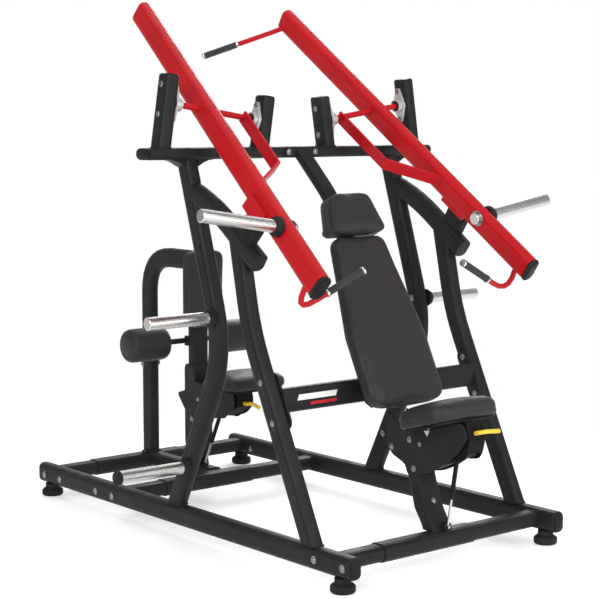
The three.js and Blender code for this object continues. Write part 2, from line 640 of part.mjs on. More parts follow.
function linkGeometry(pivot) {
  const [u, v] = pivot;
  const end = linkEnd(pivot);
  const along = new THREE.Vector2(end[0] - u, end[1] - v).normalize();
  const across = new THREE.Vector2(-along.y, along.x).multiplyScalar(SEAT.linkRadius - 1);
  const sides = outline([[u + across.x, v + across.y], [u - across.x, v - across.y],
    [end[0] - across.x, end[1] - across.y], [end[0] + across.x, end[1] + across.y]]);
  const plate = sidePlate(polygon(sides), -SEAT.linkHalfWidth, SEAT.linkHalfWidth);
  const bosses = [pivot, end].map((point) => pinAt(point, SEAT.linkHalfWidth, SEAT.linkRadius));
  const bores = [pivot, end].map((point) => pinAt(point, 60, SEAT.boreRadius));
  return cut(join([plate, ...bosses]), bores);
}

function gasEye() {
  const [u, v] = SEAT.rearPivots[1];
  return [u + SEAT.gasReach * Math.cos(SEAT.linkAngle), v + SEAT.gasReach * Math.sin(SEAT.linkAngle)];
}

function lowerLink(unit) {
  const [u, v] = gasEye();
  const slot = box(-12, 12, -u - 34, -u + 34, v - 60, v + 60);
  const geometry = join([cut(linkGeometry(SEAT.rearPivots[1]), [slot]), pinAt([u, v], 14, 5, 12)]);
  return part(`${unit.name}_lower_link`, geometry, FRAME_BLACK);
}

function carriage(unit) {
  const top = SEAT.padBottom - 1;
  const side = roundedPolygon(outline([[85, top], [85, 345], [130, 290], [190, 246], [242, 240], [266, 262],
    [unit.nose, 305], [unit.nose, top]]), 12);
  const walls = platePair(side, SEAT.carriageInner, SEAT.carriageOuter);
  const { nose } = unit;
  const half = SEAT.carriageOuter - 1;
  const deck = box(-SEAT.carriageOuter, SEAT.carriageOuter, -nose + 5, -90, top - 6, top);
  const noseWall = box(-half, half, -nose, -nose + 6, 312, top - 2);
  const chinOutline = outline([[nose, 314], [nose - 6, 314], [258, 268], [258, 261], [266, 262], [nose, 305]]);
  const chin = sidePlate(polygon(chinOutline), -half, half);
  const pins = SEAT.rearPivots.map((pivot) => pinAt(linkEnd(pivot), SEAT.carriageOuter - 1, SEAT.pinRadius));
  return part(`${unit.name}_seat_carriage`, join([...walls, deck, noseWall, chin, ...pins]), PLASTIC);
}

function seatPad(unit) {
  const { u, width, depth, thickness } = unit.pad;
  const bevel = 16;
  const geometry = new THREE.ExtrudeGeometry(roundedRect(width - 2 * bevel, depth - 2 * bevel, 44), {
    depth: thickness - 2 * bevel, curveSegments: 4,
    bevelEnabled: true, bevelThickness: bevel, bevelSize: bevel, bevelSegments: 3,
  });
  return part(`${unit.name}_seat_pad`, geometry.translate(0, -u, SEAT.padBottom + bevel), VINYL);
}

function releaseLever(unit) {
  const { drop, reach, dip } = unit.lever;
  const y = -unit.nose - LEVER.standoff;
  const z = SEAT.padBottom - drop;
  const bend = (LEVER.start + reach) / 2;
  const path = [vector(LEVER.start, y, z), vector(bend, y, z), vector(reach, y - 10, z - dip)];
  const handle = bentTube(roundedRect(LEVER.width, LEVER.height, LEVER.radius, 2), path, 18, 3);
  const hubX = LEVER.start + LEVER.height / 2;
  const hub = rod(LEVER.width / 2, vector(hubX, y, z), vector(hubX, -unit.nose - GAP, z), 12);
  return part(`${unit.name}_release_lever`, join([handle, hub]), YELLOW);
}

function gasSpring(unit) {
  const [footU, footV] = SEAT.gasFoot;
  const [eyeU, eyeV] = gasEye();
  const low = vector(0, -footU, footV);
  const high = vector(0, -eyeU, eyeV);
  const along = high.clone().sub(low).normalize();
  const length = high.distanceTo(low);
  const at = (distance) => low.clone().addScaledVector(along, distance);
  const eye = (radius, bore, { y, z }, half) => ring(radius, bore, vector(-half, y, z), vector(half, y, z));
  const piston = join([eye(GAS.lowerEye, 4.4, low, 5), rod(GAS.rodRadius, at(8), at(length - 60), 12)]);
  const barrel = cut(rod(GAS.barrelRadius, at(GAS.barrelStart), at(length - 10.5), 16),
    [rod(GAS.barrelBore, at(GAS.barrelStart - 20), at(length - 30), 12)]);
  const upperEye = eye(GAS.upperEye, 8.5, high, 6);
  return [
    part(`${unit.name}_gas_rod`, piston, CHROME),
    part(`${unit.name}_gas_cylinder`, join([barrel, upperEye]), PLASTIC),
  ];
}

function seatUnit(unit) {
  const group = unitGroup(unit);
  group.add(seatColumn(unit));
  group.add(part(`${unit.name}_upper_link`, linkGeometry(SEAT.rearPivots[0]), FRAME_BLACK));
  group.add(lowerLink(unit), carriage(unit), seatPad(unit), releaseLever(unit), ...gasSpring(unit));
  return group;
}

// ---------- pulldown station ----------
function rearPost() {
  const { y, top, end, bend } = REAR_POST;
  const section = roundedRect(REAR_POST.width, REAR_POST.depth, REAR_POST.radius);
  const corners = sidePath([[y, BEAM_TOP + GAP], [y, top], [end, top]], 0);
  const tube = bentTube(section, corners, bend, 8);
  return part('rear_post', tube, FRAME_BLACK);
}

function chestPad() {
  const { y, bottom, top, width, thickness, bevel } = CHEST_PAD;
  const geometry = new THREE.ExtrudeGeometry(roundedRect(width - 2 * bevel, top - bottom - 2 * bevel, 26), {
    depth: thickness - 2 * bevel, curveSegments: 4,
    bevelEnabled: true, bevelThickness: bevel, bevelSize: bevel, bevelSegments: 3,
  });
  geometry.rotateX(Math.PI / 2).translate(0, y + thickness / 2 - bevel, (top + bottom) / 2);
  return part('chest_pad', geometry, VINYL);
}

// The axle sits in a saddle block on the rear face of the pulldown column.
function rollerAxle() {
  const reach = ROLLER.outer - 22;
  const axle = rod(ROLLER.axle, vector(-reach, ROLLER.y, ROLLER.z), vector(reach, ROLLER.y, ROLLER.z), 20);
  const columnFace = REAR_UNIT.y + SEAT.mastDepth / 2 + GAP;
  const saddle = box(-36, 36, columnFace, ROLLER.y, ROLLER.z - 22, ROLLER.z + 22);
  return part('roller_axle', join([axle, saddle]), FRAME_BLACK);
}

function roller(side, sign) {
  const { inner, outer, radius, bore } = ROLLER;
  const length = outer - inner;
  const edge = 12;
  const floor = length - 16;
  const profile = [[bore, 0], [radius - edge, 0], [radius, edge], [radius, length - 18],
    [radius - 8, length - 6], [radius - 26, length], [0, length], [0, floor], [bore, floor], [bore, 0]];
  const geometry = new THREE.LatheGeometry(profile.map(([r, h]) => new THREE.Vector2(r, h)), 24);
  geometry.rotateX(Math.PI / 2);
  const start = vector(sign * inner, ROLLER.y, ROLLER.z);
  geometry.applyMatrix4(frameAt(start, Y_AXIS, vector(sign, 0, 0)));
  return part(`${side}_thigh_roller`, geometry, VINYL);
}

// ---------- assembly ----------
const machine = new THREE.Group();

for (const [side, sign] of SIDES) {
  machine.add(baseRail(side, sign));
  machine.add(foot(`${side}_front_foot`, sign * RAIL_X, FOOT.front));
  machine.add(foot(`${side}_rear_foot`, sign * RAIL_X, FOOT.rear));
  machine.add(frontLeg(side, sign), rearLeg(side, sign), bumper(side, sign));
  for (const horn of STORAGE_HORNS) machine.add(storageHorn(side, sign, horn));
  machine.add(armAssembly(side, sign));
  machine.add(roller(side, sign));
}
machine.add(part('front_cross_tube', crossTubeBar(FRONT_TUBE_Y), FRAME_BLACK));
machine.add(part('middle_cross_tube', crossTubeBar(MIDDLE_TUBE_Y), FRAME_BLACK));
machine.add(rearCrossTube(), crossbarFrame(), labelBar());
machine.add(backSupport(), leaningPad('backrest_pad', { ...BACKREST, ...BACK_LEAN }));
machine.add(leaningPad('headrest_pad', HEADREST));
machine.add(seatUnit(FRONT_UNIT), seatUnit(REAR_UNIT));
machine.add(rearPost(), chestPad(), rollerAxle());

const extent = new THREE.Box3().setFromObject(machine, true);
machine.position.y = -(extent.min.y + extent.max.y) / 2;

export default machine;
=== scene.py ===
"""Looks of a plate-loaded chest press and pulldown machine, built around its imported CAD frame.

Lengths in the constants are millimetres unless a comment says metres. They are measured from the plane
of the uprights, which holds both arm pivots, so every Y here is relative to that plane.
"""
import json
import math

import bmesh
import bpy
from mathutils import Matrix, Vector


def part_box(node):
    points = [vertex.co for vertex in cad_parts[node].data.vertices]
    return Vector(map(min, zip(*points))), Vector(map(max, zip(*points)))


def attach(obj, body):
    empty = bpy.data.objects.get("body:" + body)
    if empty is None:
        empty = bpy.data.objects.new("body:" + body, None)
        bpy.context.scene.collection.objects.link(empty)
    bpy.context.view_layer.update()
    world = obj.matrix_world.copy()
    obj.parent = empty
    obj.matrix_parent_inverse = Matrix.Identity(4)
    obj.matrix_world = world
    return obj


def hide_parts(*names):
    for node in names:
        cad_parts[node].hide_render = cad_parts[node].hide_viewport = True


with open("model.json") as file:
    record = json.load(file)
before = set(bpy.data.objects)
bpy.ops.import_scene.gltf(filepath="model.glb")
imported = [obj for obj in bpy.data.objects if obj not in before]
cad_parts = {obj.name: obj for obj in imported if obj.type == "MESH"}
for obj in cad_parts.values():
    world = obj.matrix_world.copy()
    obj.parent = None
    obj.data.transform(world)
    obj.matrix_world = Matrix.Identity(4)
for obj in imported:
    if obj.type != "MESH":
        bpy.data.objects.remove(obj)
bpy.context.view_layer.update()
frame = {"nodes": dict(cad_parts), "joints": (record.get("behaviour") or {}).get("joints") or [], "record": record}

# ---------- driving dimensions ----------
MM = 0.001
PIVOT = next(Vector(joint["pos_m"]) for joint in frame["joints"] if joint["name"] == "right_arm_pivot")
PLANE_Y = PIVOT.y
SIDES = (("left", -1), ("right", 1))

RAIL_X = 535
RAIL_HALF = 30
RAIL_TOP = 140
RAIL_ENDS = (-1000, 1125)
CROSS_TUBES_Y = (-880, 505, 1050)
CROSSBAR_TOP = 1570
CROSSBAR_BOTTOM = 1524
CROSSBAR_END = 740
RAIL_MIDDLE = 97.5

ARM_LEAN = math.radians(8.8)
ARM_PITCH = math.radians(38)
ARM_HALF_WIDTH = 28
HORN = {"along": -727, "up": 14}
PRESS_GRIP = {"tip": (-272, -919, 6), "toward": (0, -1000, -166), "length": 165}
PULL_GRIP = {"tip": (-300, 776, -234), "toward": (-60, 665, -62), "length": 150}
ARM_BEAD_RADIUS = 14.5
ARM_BEAD_POINTS = 22
ARM_CAP_FACE = 1045.5
BRACE_FOOT = -488
# Each bearing's face on the shaft, and the direction along the shaft in which it faces.
BEARING_FACES = ((153, -1), (-261, 1))
BEARING_REACH = 60
BEARING_FLANGE = 12
BEARING_DEPTH = 32

# The leaning uprights as (top x, top z, side that faces out, heights of their bolts).
UPRIGHTS = ((616, 1850, 1, (1700, 1815)), (144, 1770, -1, (1615, 1722)))
# The legs' feet as (y, slope), where they meet the rails.
LEG_FEET = ((-762, 0.478), (85, -0.499))
LEG_HALF_DEPTH = 39
LEG_TOP_Y = 2.3
LEG_TOP_HALF_DEPTH = 41
LEG_CORNER = 22
UPRIGHT_FOOT_HALF = 30.4
UPRIGHT_CORNER = 20
CROSS_TUBE = {"z": 97, "halves": (42, 31), "corner": 26}
REAR_POST_X = 44
# Feet of the rear post and the rear seat's column as (y, z, half width, half depth, corner radius).
POST_FEET = ((1050, 134, REAR_POST_X, 23, 18), (672, 134, 38, 29, 12))
FRAME_BEAD = 3.4
ARM_BEAD = 2.6
# The beads' swell as a share of their radius, the angle it moves on by at each point, and their spacing.
BEAD_RIPPLE = 0.22
BEAD_RIPPLE_STEP = 2.4
WELD_STEP = 5

# Rounded plates as ((width, height, corner radius), thickness, rounded edge).
RAIL_PLUG = ((48, 73, 17), 4, 2)
CROSSBAR_PLUG = ((94, 36, 16), 3, 1.5)
UPRIGHT_PLUG = ((52, 70, 17), 3, 1.5)
ARM_BOSS = ((40, 82, 16), 3, 1.5)
COLUMN_RIB = ((64, 6, 3), 3, 1.5)

# Turned profiles as (radius, height) pairs.
HORN_COLLAR = ((25.2, 0), (36, 0), (37, 1.5), (37, 9), (33, 12), (30, 24), (27.5, 26), (25.2, 26))
HORN_CAP = ((25.2, -14), (27, -13.5), (27.5, -12), (27.5, 0), (26, 3), (20, 5), (0.5, 5.5))
WEIGHT_COLLAR = (
    (25.2, 0.5), (37, 0.5), (38.5, 2.5), (38.5, 16), (36, 20), (33, 27), (30, 30), (25.2, 30),
)
HORN_WASHER = ((25.2, 0.4), (31, 0.4), (32, 1.4), (32, 4), (31, 5), (25.2, 5))
GRIP_CAP = ((9, 0.5), (14.6, 0.5), (15.4, -1), (15.4, -7), (14, -9.5), (8, -10.5), (0.5, -10.8))
GRIP_RING = ((11.4, 0.4), (15, 0.4), (16, 1.4), (16, 9), (15, 10), (11.4, 10))
ROLLER_STOP = ((0.1, -1), (19, -1), (21, -3), (21, -13), (19, -15), (13.2, -15), (0.1, -15))
BEARING_SEAL = ((14, -0.5), (22, -0.5), (22, 1.2), (20, 2.2), (14, 2.2))
PIVOT_RING = ((3, 0.2), (9, 0.2), (9.5, 1.5), (9, 2.5), (5, 3), (4.5, 1))

FRONT_UNIT = {"name": "front", "y": -876, "z": 130, "tilt": math.radians(16)}
REAR_UNIT = {"name": "rear", "y": 672, "z": 136, "tilt": 0.0}
CHEEK_X = 53
SEAT_PADS = {
    "front": {"u": 162, "width": 340, "depth": 252},
    "rear": {"u": 335, "width": 320, "depth": 250},
}

# The front column's front face as (u, v) in its unit's plane, and the ribs' distances up that face.
COLUMN_FACE = ((-10, 110), (-22, 374))
COLUMN_RIBS = (70, 84, 98)
COLUMN_BOLT_X = 8

# Storage horns as (name, y, z, distance of the tip from the middle).
STORAGE_HORNS = (("upper", -199, 921, 868), ("lower", -23, 309, 895))
ROLLER = {"y": 726, "z": 691, "radius": 74, "inner": 146, "outer": 346}
BACK_LEAN = math.radians(26.4)
HEAD_LEAN = math.atan2(75, 150)

# Covers of the fixed pads as (node, lean, gap behind the cover, most that it may swell, seam's height).
COVERS = (
    ("backrest_pad", BACK_LEAN, 10, 6, 34),
    ("headrest_pad", HEAD_LEAN, 10, 5, 46),
    ("chest_pad", 0.0, 9, 5, 28),
)
SEAT_GAP = 8
SEAT_SWELL = 7
SEAT_SEAM = 26
# The height of the band above the board in which a cover is held fast.
PINNED_BAND = 8
COVER_INSET = 1
SEAM_DEPTH = 1.4
SEAM_WIDTH = 3.2
VOXEL = 5.5
SEAT_CORNER = 60
ROLLED_RIM = 62
# How much of the rolled rim's drop a seat has at its nose and at its rear end.
RIM_DROP = (0.4, 0.8)
SEAT_CROWN = 13

# Moulded backs as (name, y, z, lean, length, bottom width, top width, waist, pad thickness).
BACK_BOARDS = (
    ("backrest_board", -724, 602, BACK_LEAN, 700, 388, 262, 300, 64),
    ("headrest_board", -430, 1247, HEAD_LEAN, 166, 272, 205, 20, 100),
)
BOARD_INSET = 16
BOARD_CHAMFER = 22
BOARD_THICKNESS = 13
CHEST_BOARD = {"place": (0, 663, 931), "width": 176, "height": 316, "corner": 26, "thickness": 12}
SEAT_BOARD = {"level": 383, "inset": 36, "corner": 36, "thickness": 9}

# Lamps as (name, place in metres, size in metres, watts).
LAMPS = (
    ("key", (-4.6, -3.4, 3.4), 3.0, 185),
    ("fill", (1.5, -6.0, 2.4), 3.5, 165),
    ("top", (0.0, 0.6, 5.2), 3.5, 60),
    ("rim", (3.8, 3.6, 3.4), 2.5, 110),
)
LAMP_TARGET = (0, 0, 0.9)
AMBIENT = 0.4
FLOOR_GLOW = 0.35
# Distances from the machine's middle, in metres, between which the floor fades from the camera's sight.
FLOOR_FADE = (1.3, 2.6)
# The floor's half width, and the (y, z) of its profile from the front to the top of the wall, in metres.
FLOOR_REACH = 14
FLOOR_PROFILE = ((-14, 0), (6, 0), (7.2, 0.25), (8, 1), (8.3, 2.2), (8.3, 14))
CAMERA_AZIMUTH = math.radians(-39.57)
CAMERA_ELEVATION = math.radians(6.32)
CAMERA_PLACE = (-4288, -5234, 1685)
CAMERA_SENSOR = 36
CAMERA_CLIP_END = 60
CAMERA_LENS = 98.33
PAINT_SHINE = 0.14
VINYL_SHINE = 0.22
PLASTIC_SHINE = 0.15
SIM_FRAMES = 20
SIM_PRESSURE = 3.0

# Bolt heads as (radius, height), then the (y, z) of the bolts on each face.
BOLT_LARGE = (11, 7)
BOLT_MEDIUM = (9, 6)
RAIL_BOLTS = ((1072, 92), (943, 92), (649, 92), (523, 92), (-807, 97), (-964, 97))
RAIL_INNER_BOLT = (943, 92)
LEG_BOLTS = ((-498, 705), (-569, 562))
REAR_LEG_BOLTS = ((-4, 309), (-181, 921))
FRONT_CHEEK_BOLTS = ((-665, 426), (-763, 468), (-788, 359))
REAR_MAST_BOLTS = ((651, 347),)
REAR_POST_BOLT = (1050, 548)
# The bolt on each side of the backrest's clamp, on the crossbar.
CLAMP_BOLT = (70, -60, 1548)
TIE_PLATE = 8
TIE_PLATE_RADIUS = 33
ARC_STEPS = 12
TIE_BAR_FRONT = -562.2
STRIPE_SLANT = 0.35
STRIPE_THICKNESS = 0.8
POINTER_THICKNESS = 0.6
PRINT_EDGE = 0.2
# The seat housings' pivots and the corners of the pointer printed on the front one, as (y, z).
HOUSING_PIVOTS = ((-820, 458), (603, 441))
POINTER = ((-872, 518), (-842, 514), (-860, 494))


def at(x, y, z):
    """A point in the frame, in metres, from millimetres measured from the uprights' plane."""
    return Vector((x * MM, y * MM + PLANE_Y, z * MM))


def upright_x(top_x, top_z, z):
    """Where a leaning upright's axis is at height z."""
    return top_x + (top_z - z) * math.tan(ARM_LEAN)


# ---------- materials ----------
class Surface:
    """A node material under construction: a principled shader with object-space textures."""

    def __init__(self, name, roughness, metallic=0.0):
        self.material = bpy.data.materials.new(name)
        self.material.use_nodes = True
        self.nodes = self.material.node_tree.nodes
        self.links = self.material.node_tree.links
        self.shader = self.nodes["Principled BSDF"]
        self.shader.inputs["Roughness"].default_value = roughness
        self.shader.inputs["Metallic"].default_value = metallic
        self.coords = self.nodes.new("ShaderNodeTexCoord").outputs["Object"]

    def noise(self, scale, detail=3.0, stretch=(1, 1, 1)):
        mapping = self.nodes.new("ShaderNodeMapping")
        mapping.inputs["Scale"].default_value = stretch
        self.links.new(self.coords, mapping.inputs["Vector"])
        texture = self.nodes.new("ShaderNodeTexNoise")
        texture.inputs["Scale"].default_value = scale
        texture.inputs["Detail"].default_value = detail
        self.links.new(mapping.outputs["Vector"], texture.inputs["Vector"])
        return texture.outputs["Fac"]

    def cells(self, scale):
        texture = self.nodes.new("ShaderNodeTexVoronoi")
        texture.inputs["Scale"].default_value = scale
        self.links.new(self.coords, texture.inputs["Vector"])
        return texture.outputs["Distance"]

    def remap(self, value, low, high):
        node = self.nodes.new("ShaderNodeMapRange")
        node.inputs["From Min"].default_value = 0.3
        node.inputs["From Max"].default_value = 0.7
        node.inputs["To Min"].default_value = low
        node.inputs["To Max"].default_value = high
        self.links.new(value, node.inputs["Value"])
        return node.outputs["Result"]

    def math(self, operation, first, second):
        node = self.nodes.new("ShaderNodeMath")
        node.operation = operation
        for socket, value in zip(node.inputs, (first, second)):
            if isinstance(value, (int, float)):
                socket.default_value = value
            else:
                self.links.new(value, socket)
        return node.outputs["Value"]

    def mix(self, factor, dark, light):
        node = self.nodes.new("ShaderNodeMix")
        node.data_type = "RGBA"
        sockets = (node.inputs["Factor"], node.inputs[6], node.inputs[7])
        for socket, value in zip(sockets, (factor, dark, light)):
            if isinstance(value, (int, float)):
                socket.default_value = value
            elif isinstance(value, tuple):
                socket.default_value = (*value, 1.0)
            else:
                self.links.new(value, socket)
        return node.outputs[2]

    def edges(self, radius):
        """A mask that is 0 on flat areas and rises on sharp edges, and a normal that rounds them."""
        rounded = self.nodes.new("ShaderNodeBevel")
        rounded.samples = 4
        rounded.inputs["Radius"].default_value = radius
        geometry = self.nodes.new("ShaderNodeNewGeometry")
        dot = self.nodes.new("ShaderNodeVectorMath")
        dot.operation = "DOT_PRODUCT"
        self.links.new(rounded.outputs["Normal"], dot.inputs[0])
        self.links.new(geometry.outputs["Normal"], dot.inputs[1])
        turned_away = self.math("SUBTRACT", 1.0, dot.outputs["Value"])
        return self.math("MULTIPLY", turned_away, 4.0), rounded.outputs["Normal"]

    def color(self, value):
        if isinstance(value, tuple):
            self.shader.inputs["Base Color"].default_value = (*value, 1.0)
        else:
            self.links.new(value, self.shader.inputs["Base Color"])

    def roughness(self, value):
        self.links.new(value, self.shader.inputs["Roughness"])

    def bump(self, height, distance, strength=1.0, normal=None):
        node = self.nodes.new("ShaderNodeBump")
        node.inputs["Distance"].default_value = distance
        node.inputs["Strength"].default_value = strength
        self.links.new(height, node.inputs["Height"])
        if normal is not None:
            self.links.new(normal, node.inputs["Normal"])
        self.links.new(node.outputs["Normal"], self.shader.inputs["Normal"])


def powder_coat(name, dark, light, edge_tone, roughness):
    surface = Surface(name, roughness)
    tone = surface.mix(surface.remap(surface.noise(5, 4), 0.0, 1.0), dark, light)
    edge, rounded = surface.edges(0.0022)
    scuffs = surface.math("MULTIPLY", edge, surface.remap(surface.noise(60, 5), 0.1, 1.0))
    surface.color(surface.mix(scuffs, tone, edge_tone))
    surface.roughness(surface.remap(surface.noise(14, 5), roughness - 0.06, roughness + 0.09))
    surface.bump(surface.noise(650, 2), 0.00035, 0.35, rounded)
    surface.shader.inputs["Specular IOR Level"].default_value = PAINT_SHINE
    return surface.material


def chrome_plate():
    surface = Surface("chrome_plate", 0.08, 1.0)
    surface.color(surface.mix(surface.noise(7, 3), (0.5, 0.495, 0.48), (0.66, 0.655, 0.64)))
    surface.roughness(surface.remap(surface.noise(30, 5, (1, 12, 12)), 0.22, 0.34))
    surface.bump(surface.noise(240, 3, (1, 10, 10)), 0.0001, 0.05)
    return surface.material


def zinc_bolt():
    surface = Surface("zinc_bolt", 0.28, 1.0)
    surface.color(surface.mix(surface.noise(90, 4), (0.2, 0.2, 0.2), (0.38, 0.375, 0.36)))
    surface.roughness(surface.remap(surface.noise(300, 3), 0.2, 0.42))
    surface.bump(surface.noise(900, 2), 0.0001, 0.3)
    return surface.material


def cast_paint():
    surface = Surface("cast_bearing_paint", 0.4, 0.55)
    surface.color(surface.mix(surface.noise(60, 5), (0.42, 0.42, 0.42), (0.62, 0.62, 0.61)))
    surface.roughness(surface.remap(surface.noise(120, 4), 0.3, 0.55))
    surface.bump(surface.noise(420, 3), 0.0004, 0.5)
    return surface.material


def vinyl():
    surface = Surface("pad_vinyl", 0.46)
    blotches = surface.remap(surface.noise(9, 4), 0.0, 1.0)
    tone = surface.mix(blotches, (0.0165, 0.0155, 0.0145), (0.024, 0.0225, 0.021))
    grain = surface.cells(620)
    surface.color(surface.mix(surface.math("MULTIPLY", grain, 0.55), tone, (0.04, 0.038, 0.036)))
    surface.roughness(surface.remap(surface.noise(25, 5), 0.38, 0.54))
    creases = surface.math("MULTIPLY", surface.noise(45, 6), 1.6)
    surface.bump(surface.math("ADD", grain, creases), 0.0006, 0.55)
    surface.shader.inputs["Specular IOR Level"].default_value = VINYL_SHINE
    return surface.material


def moulded(name, dark, light, roughness, grain, depth):
    surface = Surface(name, roughness)
    surface.color(surface.mix(surface.remap(surface.noise(18, 4), 0.0, 1.0), dark, light))
    surface.roughness(surface.remap(surface.noise(70, 4), roughness - 0.08, roughness + 0.1))
    edge_normal = surface.edges(0.0012)[1]
    surface.bump(surface.noise(grain, 3), depth, 0.5, edge_normal)
    surface.shader.inputs["Specular IOR Level"].default_value = PLASTIC_SHINE
    return surface.material


def ribbed_rubber():
    surface = Surface("grip_rubber", 0.7)
    surface.color(surface.mix(surface.noise(40, 4), (0.012, 0.012, 0.012), (0.03, 0.029, 0.028)))
    surface.roughness(surface.remap(surface.noise(90, 4), 0.55, 0.8))
    surface.bump(surface.cells(420), 0.0012, 0.8)
    return surface.material


FRAME_TONES = ((0.0125, 0.0128, 0.0128), (0.019, 0.0193, 0.0193), (0.05, 0.05, 0.05))
ARM_TONES = ((0.4, 0.006, 0.01), (0.48, 0.009, 0.014), (0.62, 0.05, 0.055))
# The seat carriages' tones hold painted shade. They are a black far darker than the plastic itself, standing in
# for the shadow the carriages sit in.
CARRIAGE_PAINTED_SHADE_TONES = ((0.0015, 0.0015, 0.0015), (0.003, 0.003, 0.003))
FRAME_PAINT = powder_coat("frame_powder_coat", *FRAME_TONES, 0.45)
ARM_PAINT = powder_coat("arm_powder_coat", *ARM_TONES, 0.36)
CHROME = chrome_plate()
BOLT = zinc_bolt()
CAST = cast_paint()
VINYL = vinyl()
RUBBER = moulded("black_rubber", (0.011, 0.011, 0.011), (0.022, 0.022, 0.021), 0.72, 500, 0.0006)
PLASTIC = moulded("black_plastic", (0.005, 0.005, 0.005), (0.011, 0.011, 0.011), 0.45, 700, 0.0003)
CARRIAGE_PAINTED_SHADE_BLACK = moulded("carriage_painted_shade_black", *CARRIAGE_PAINTED_SHADE_TONES, 0.6, 700, 0.0003)
YELLOW = moulded("yellow_lever", (0.68, 0.42, 0.03), (0.82, 0.56, 0.06), 0.35, 260, 0.0003)
GRIP_RUBBER = ribbed_rubber()
WHITE_PRINT = moulded("white_print", (0.72, 0.72, 0.7), (0.82, 0.82, 0.8), 0.5, 600, 0.0002)
RED_PRINT = moulded("red_print", (0.42, 0.015, 0.02), (0.5, 0.03, 0.035), 0.5, 600, 0.0002)
SLOT_MATERIALS = {
    "frame_paint": FRAME_PAINT, "arm_paint": ARM_PAINT, "chrome_steel": CHROME, "cast_bearing": CAST,
    "black_rubber": RUBBER, "pad_vinyl": VINYL, "black_plastic": PLASTIC, "yellow_lever": YELLOW,
}
# Grips get ribbed rubber. The carriages get the black with painted shade.
KIND_MATERIALS = {"grip": GRIP_RUBBER, "carriage": CARRIAGE_PAINTED_SHADE_BLACK}


# ---------- piece helpers ----------
def smooth(mesh, degrees):
    mesh.shade_smooth()
    mesh.set_sharp_from_angle(angle=math.radians(degrees))


def piece(name, mesh, material, body, sharp=38):
    mesh.materials.clear()
    mesh.materials.append(material)
    smooth(mesh, sharp)
    obj = bpy.data.objects.new(name, mesh)
    bpy.context.scene.collection.objects.link(obj)
    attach(obj, body)
    return obj


def paint_frame():
    """Each CAD node gets its slot's material and smooth shading."""
    for entry in frame["record"]["subparts"]:
        node = frame["nodes"][entry["node"]]
        name = entry["node"]
        kind = name.rsplit("_", 1)[1]
        material = KIND_MATERIALS.get(kind, SLOT_MATERIALS[entry["material_slot"]])
        node.data.materials.clear()
        node.data.materials.append(material)
        smooth(node.data, 40)


def basis(origin, z_axis, x_hint):
    """A matrix whose z axis is z_axis and whose x axis is as close to x_hint as it can be."""
    z = Vector(z_axis).normalized()
    y = z.cross(Vector(x_hint)).normalized()
    x = y.cross(z)
    return Matrix.Translation(origin) @ Matrix((x, y, z)).transposed().to_4x4()


def add_loops(bm, loops):
    """Skins rings of points that have the same count, and closes the ends."""
    rings = [[bm.verts.new(point) for point in loop] for loop in loops]
    count = len(rings[0])
    for low, high in zip(rings, rings[1:]):
        for i in range(count):
            j = (i + 1) % count
            bm.faces.new((low[i], low[j], high[j], high[i]))
    bm.faces.new(list(reversed(rings[0])))
    bm.faces.new(rings[-1])


def turned(profile, place, segments=48):
    """Rings for a turned solid. The profile is (radius, height) in millimetres, up the place's z axis."""
    loops = []
    for radius, height in profile:
        ring = []
        for i in range(segments):
            angle = 2 * math.pi * i / segments
            spot = Vector((radius * math.cos(angle), radius * math.sin(angle), height))
            ring.append(place @ (spot * MM))
        loops.append(ring)
    return loops


def outline_rect(width, height, radius, segments=5):
    points = []
    for corner in range(4):
        sx = 1 if corner in (0, 3) else -1
        sy = 1 if corner < 2 else -1
        for i in range(segments + 1):
            angle = math.pi / 2 * (corner + i / segments)
            points.append((sx * (width / 2 - radius) + radius * math.cos(angle),
                           sy * (height / 2 - radius) + radius * math.sin(angle)))
    return points


def plate_loops(outline, place, thickness, edge):
    """Rings for a plate with rounded rims, from an outline in millimetres."""
    loops = []
    center = Vector((sum(p[0] for p in outline), sum(p[1] for p in outline))) / len(outline)
    shoulder = edge * 0.3
    steps = ((0, 0), (0, thickness - edge), (shoulder, thickness - shoulder), (edge, thickness))
    for inset, height in steps:
        ring = []
        for point in outline:
            offset = Vector(point) - center
            shrunk = center + offset * max(0.0, 1 - inset / offset.length)
            ring.append(place @ Vector((shrunk.x * MM, shrunk.y * MM, height * MM)))
        loops.append(ring)
    return loops


def plug(shape, place):
    """Rings for one of the rounded plates."""
    size, thickness, edge = shape
    return plate_loops(outline_rect(*size), place, thickness, edge)


def mesh_from(name, groups):
    """One mesh from several groups of loops."""
    bm = bmesh.new()
    for loops in groups:
        add_loops(bm, loops)
    bmesh.ops.recalc_face_normals(bm, faces=bm.faces)
    mesh = bpy.data.meshes.new(name)
    bm.to_mesh(mesh)
    bm.free()
    return mesh


def turned_piece(name, body, profile, place, material):
    piece(name, mesh_from(name, [turned(profile, place)]), material, body)


def bolt_loops(place, size, segments=24):
    """A button-head bolt with a hexagonal socket."""
    radius, height = size
    flange = radius * 1.35
    profile = [(flange, 0), (flange, 1.2), (radius, 1.3), (radius, height * 0.5),
               (radius * 0.85, height * 0.85), (radius * 0.58, height)]
    loops = turned(profile, place, segments)
    for reach, level in ((0.44, 1.0), (0.42, 0.45)):
        ring = []
        for i in range(segments):
            angle = 2 * math.pi * i / segments
            flat = math.cos(math.pi / 6) / math.cos((angle % (math.pi / 3)) - math.pi / 6)
            distance = radius * reach * flat
            spot = Vector((distance * math.cos(angle), distance * math.sin(angle), height * level))
            ring.append(place @ (spot * MM))
        loops.append(ring)
    return loops


def bolts(name, body, places, size):
    """One piece with all the bolts whose (point, outward normal) are in places."""
    groups = []
    for point, normal in places:
        hint = (0, 1, 0) if abs(Vector(normal).normalized().y) < 0.9 else (1, 0, 0)
        groups.append(bolt_loops(basis(point, normal, hint), size))
    piece(name, mesh_from(name, groups), BOLT, body, 30)


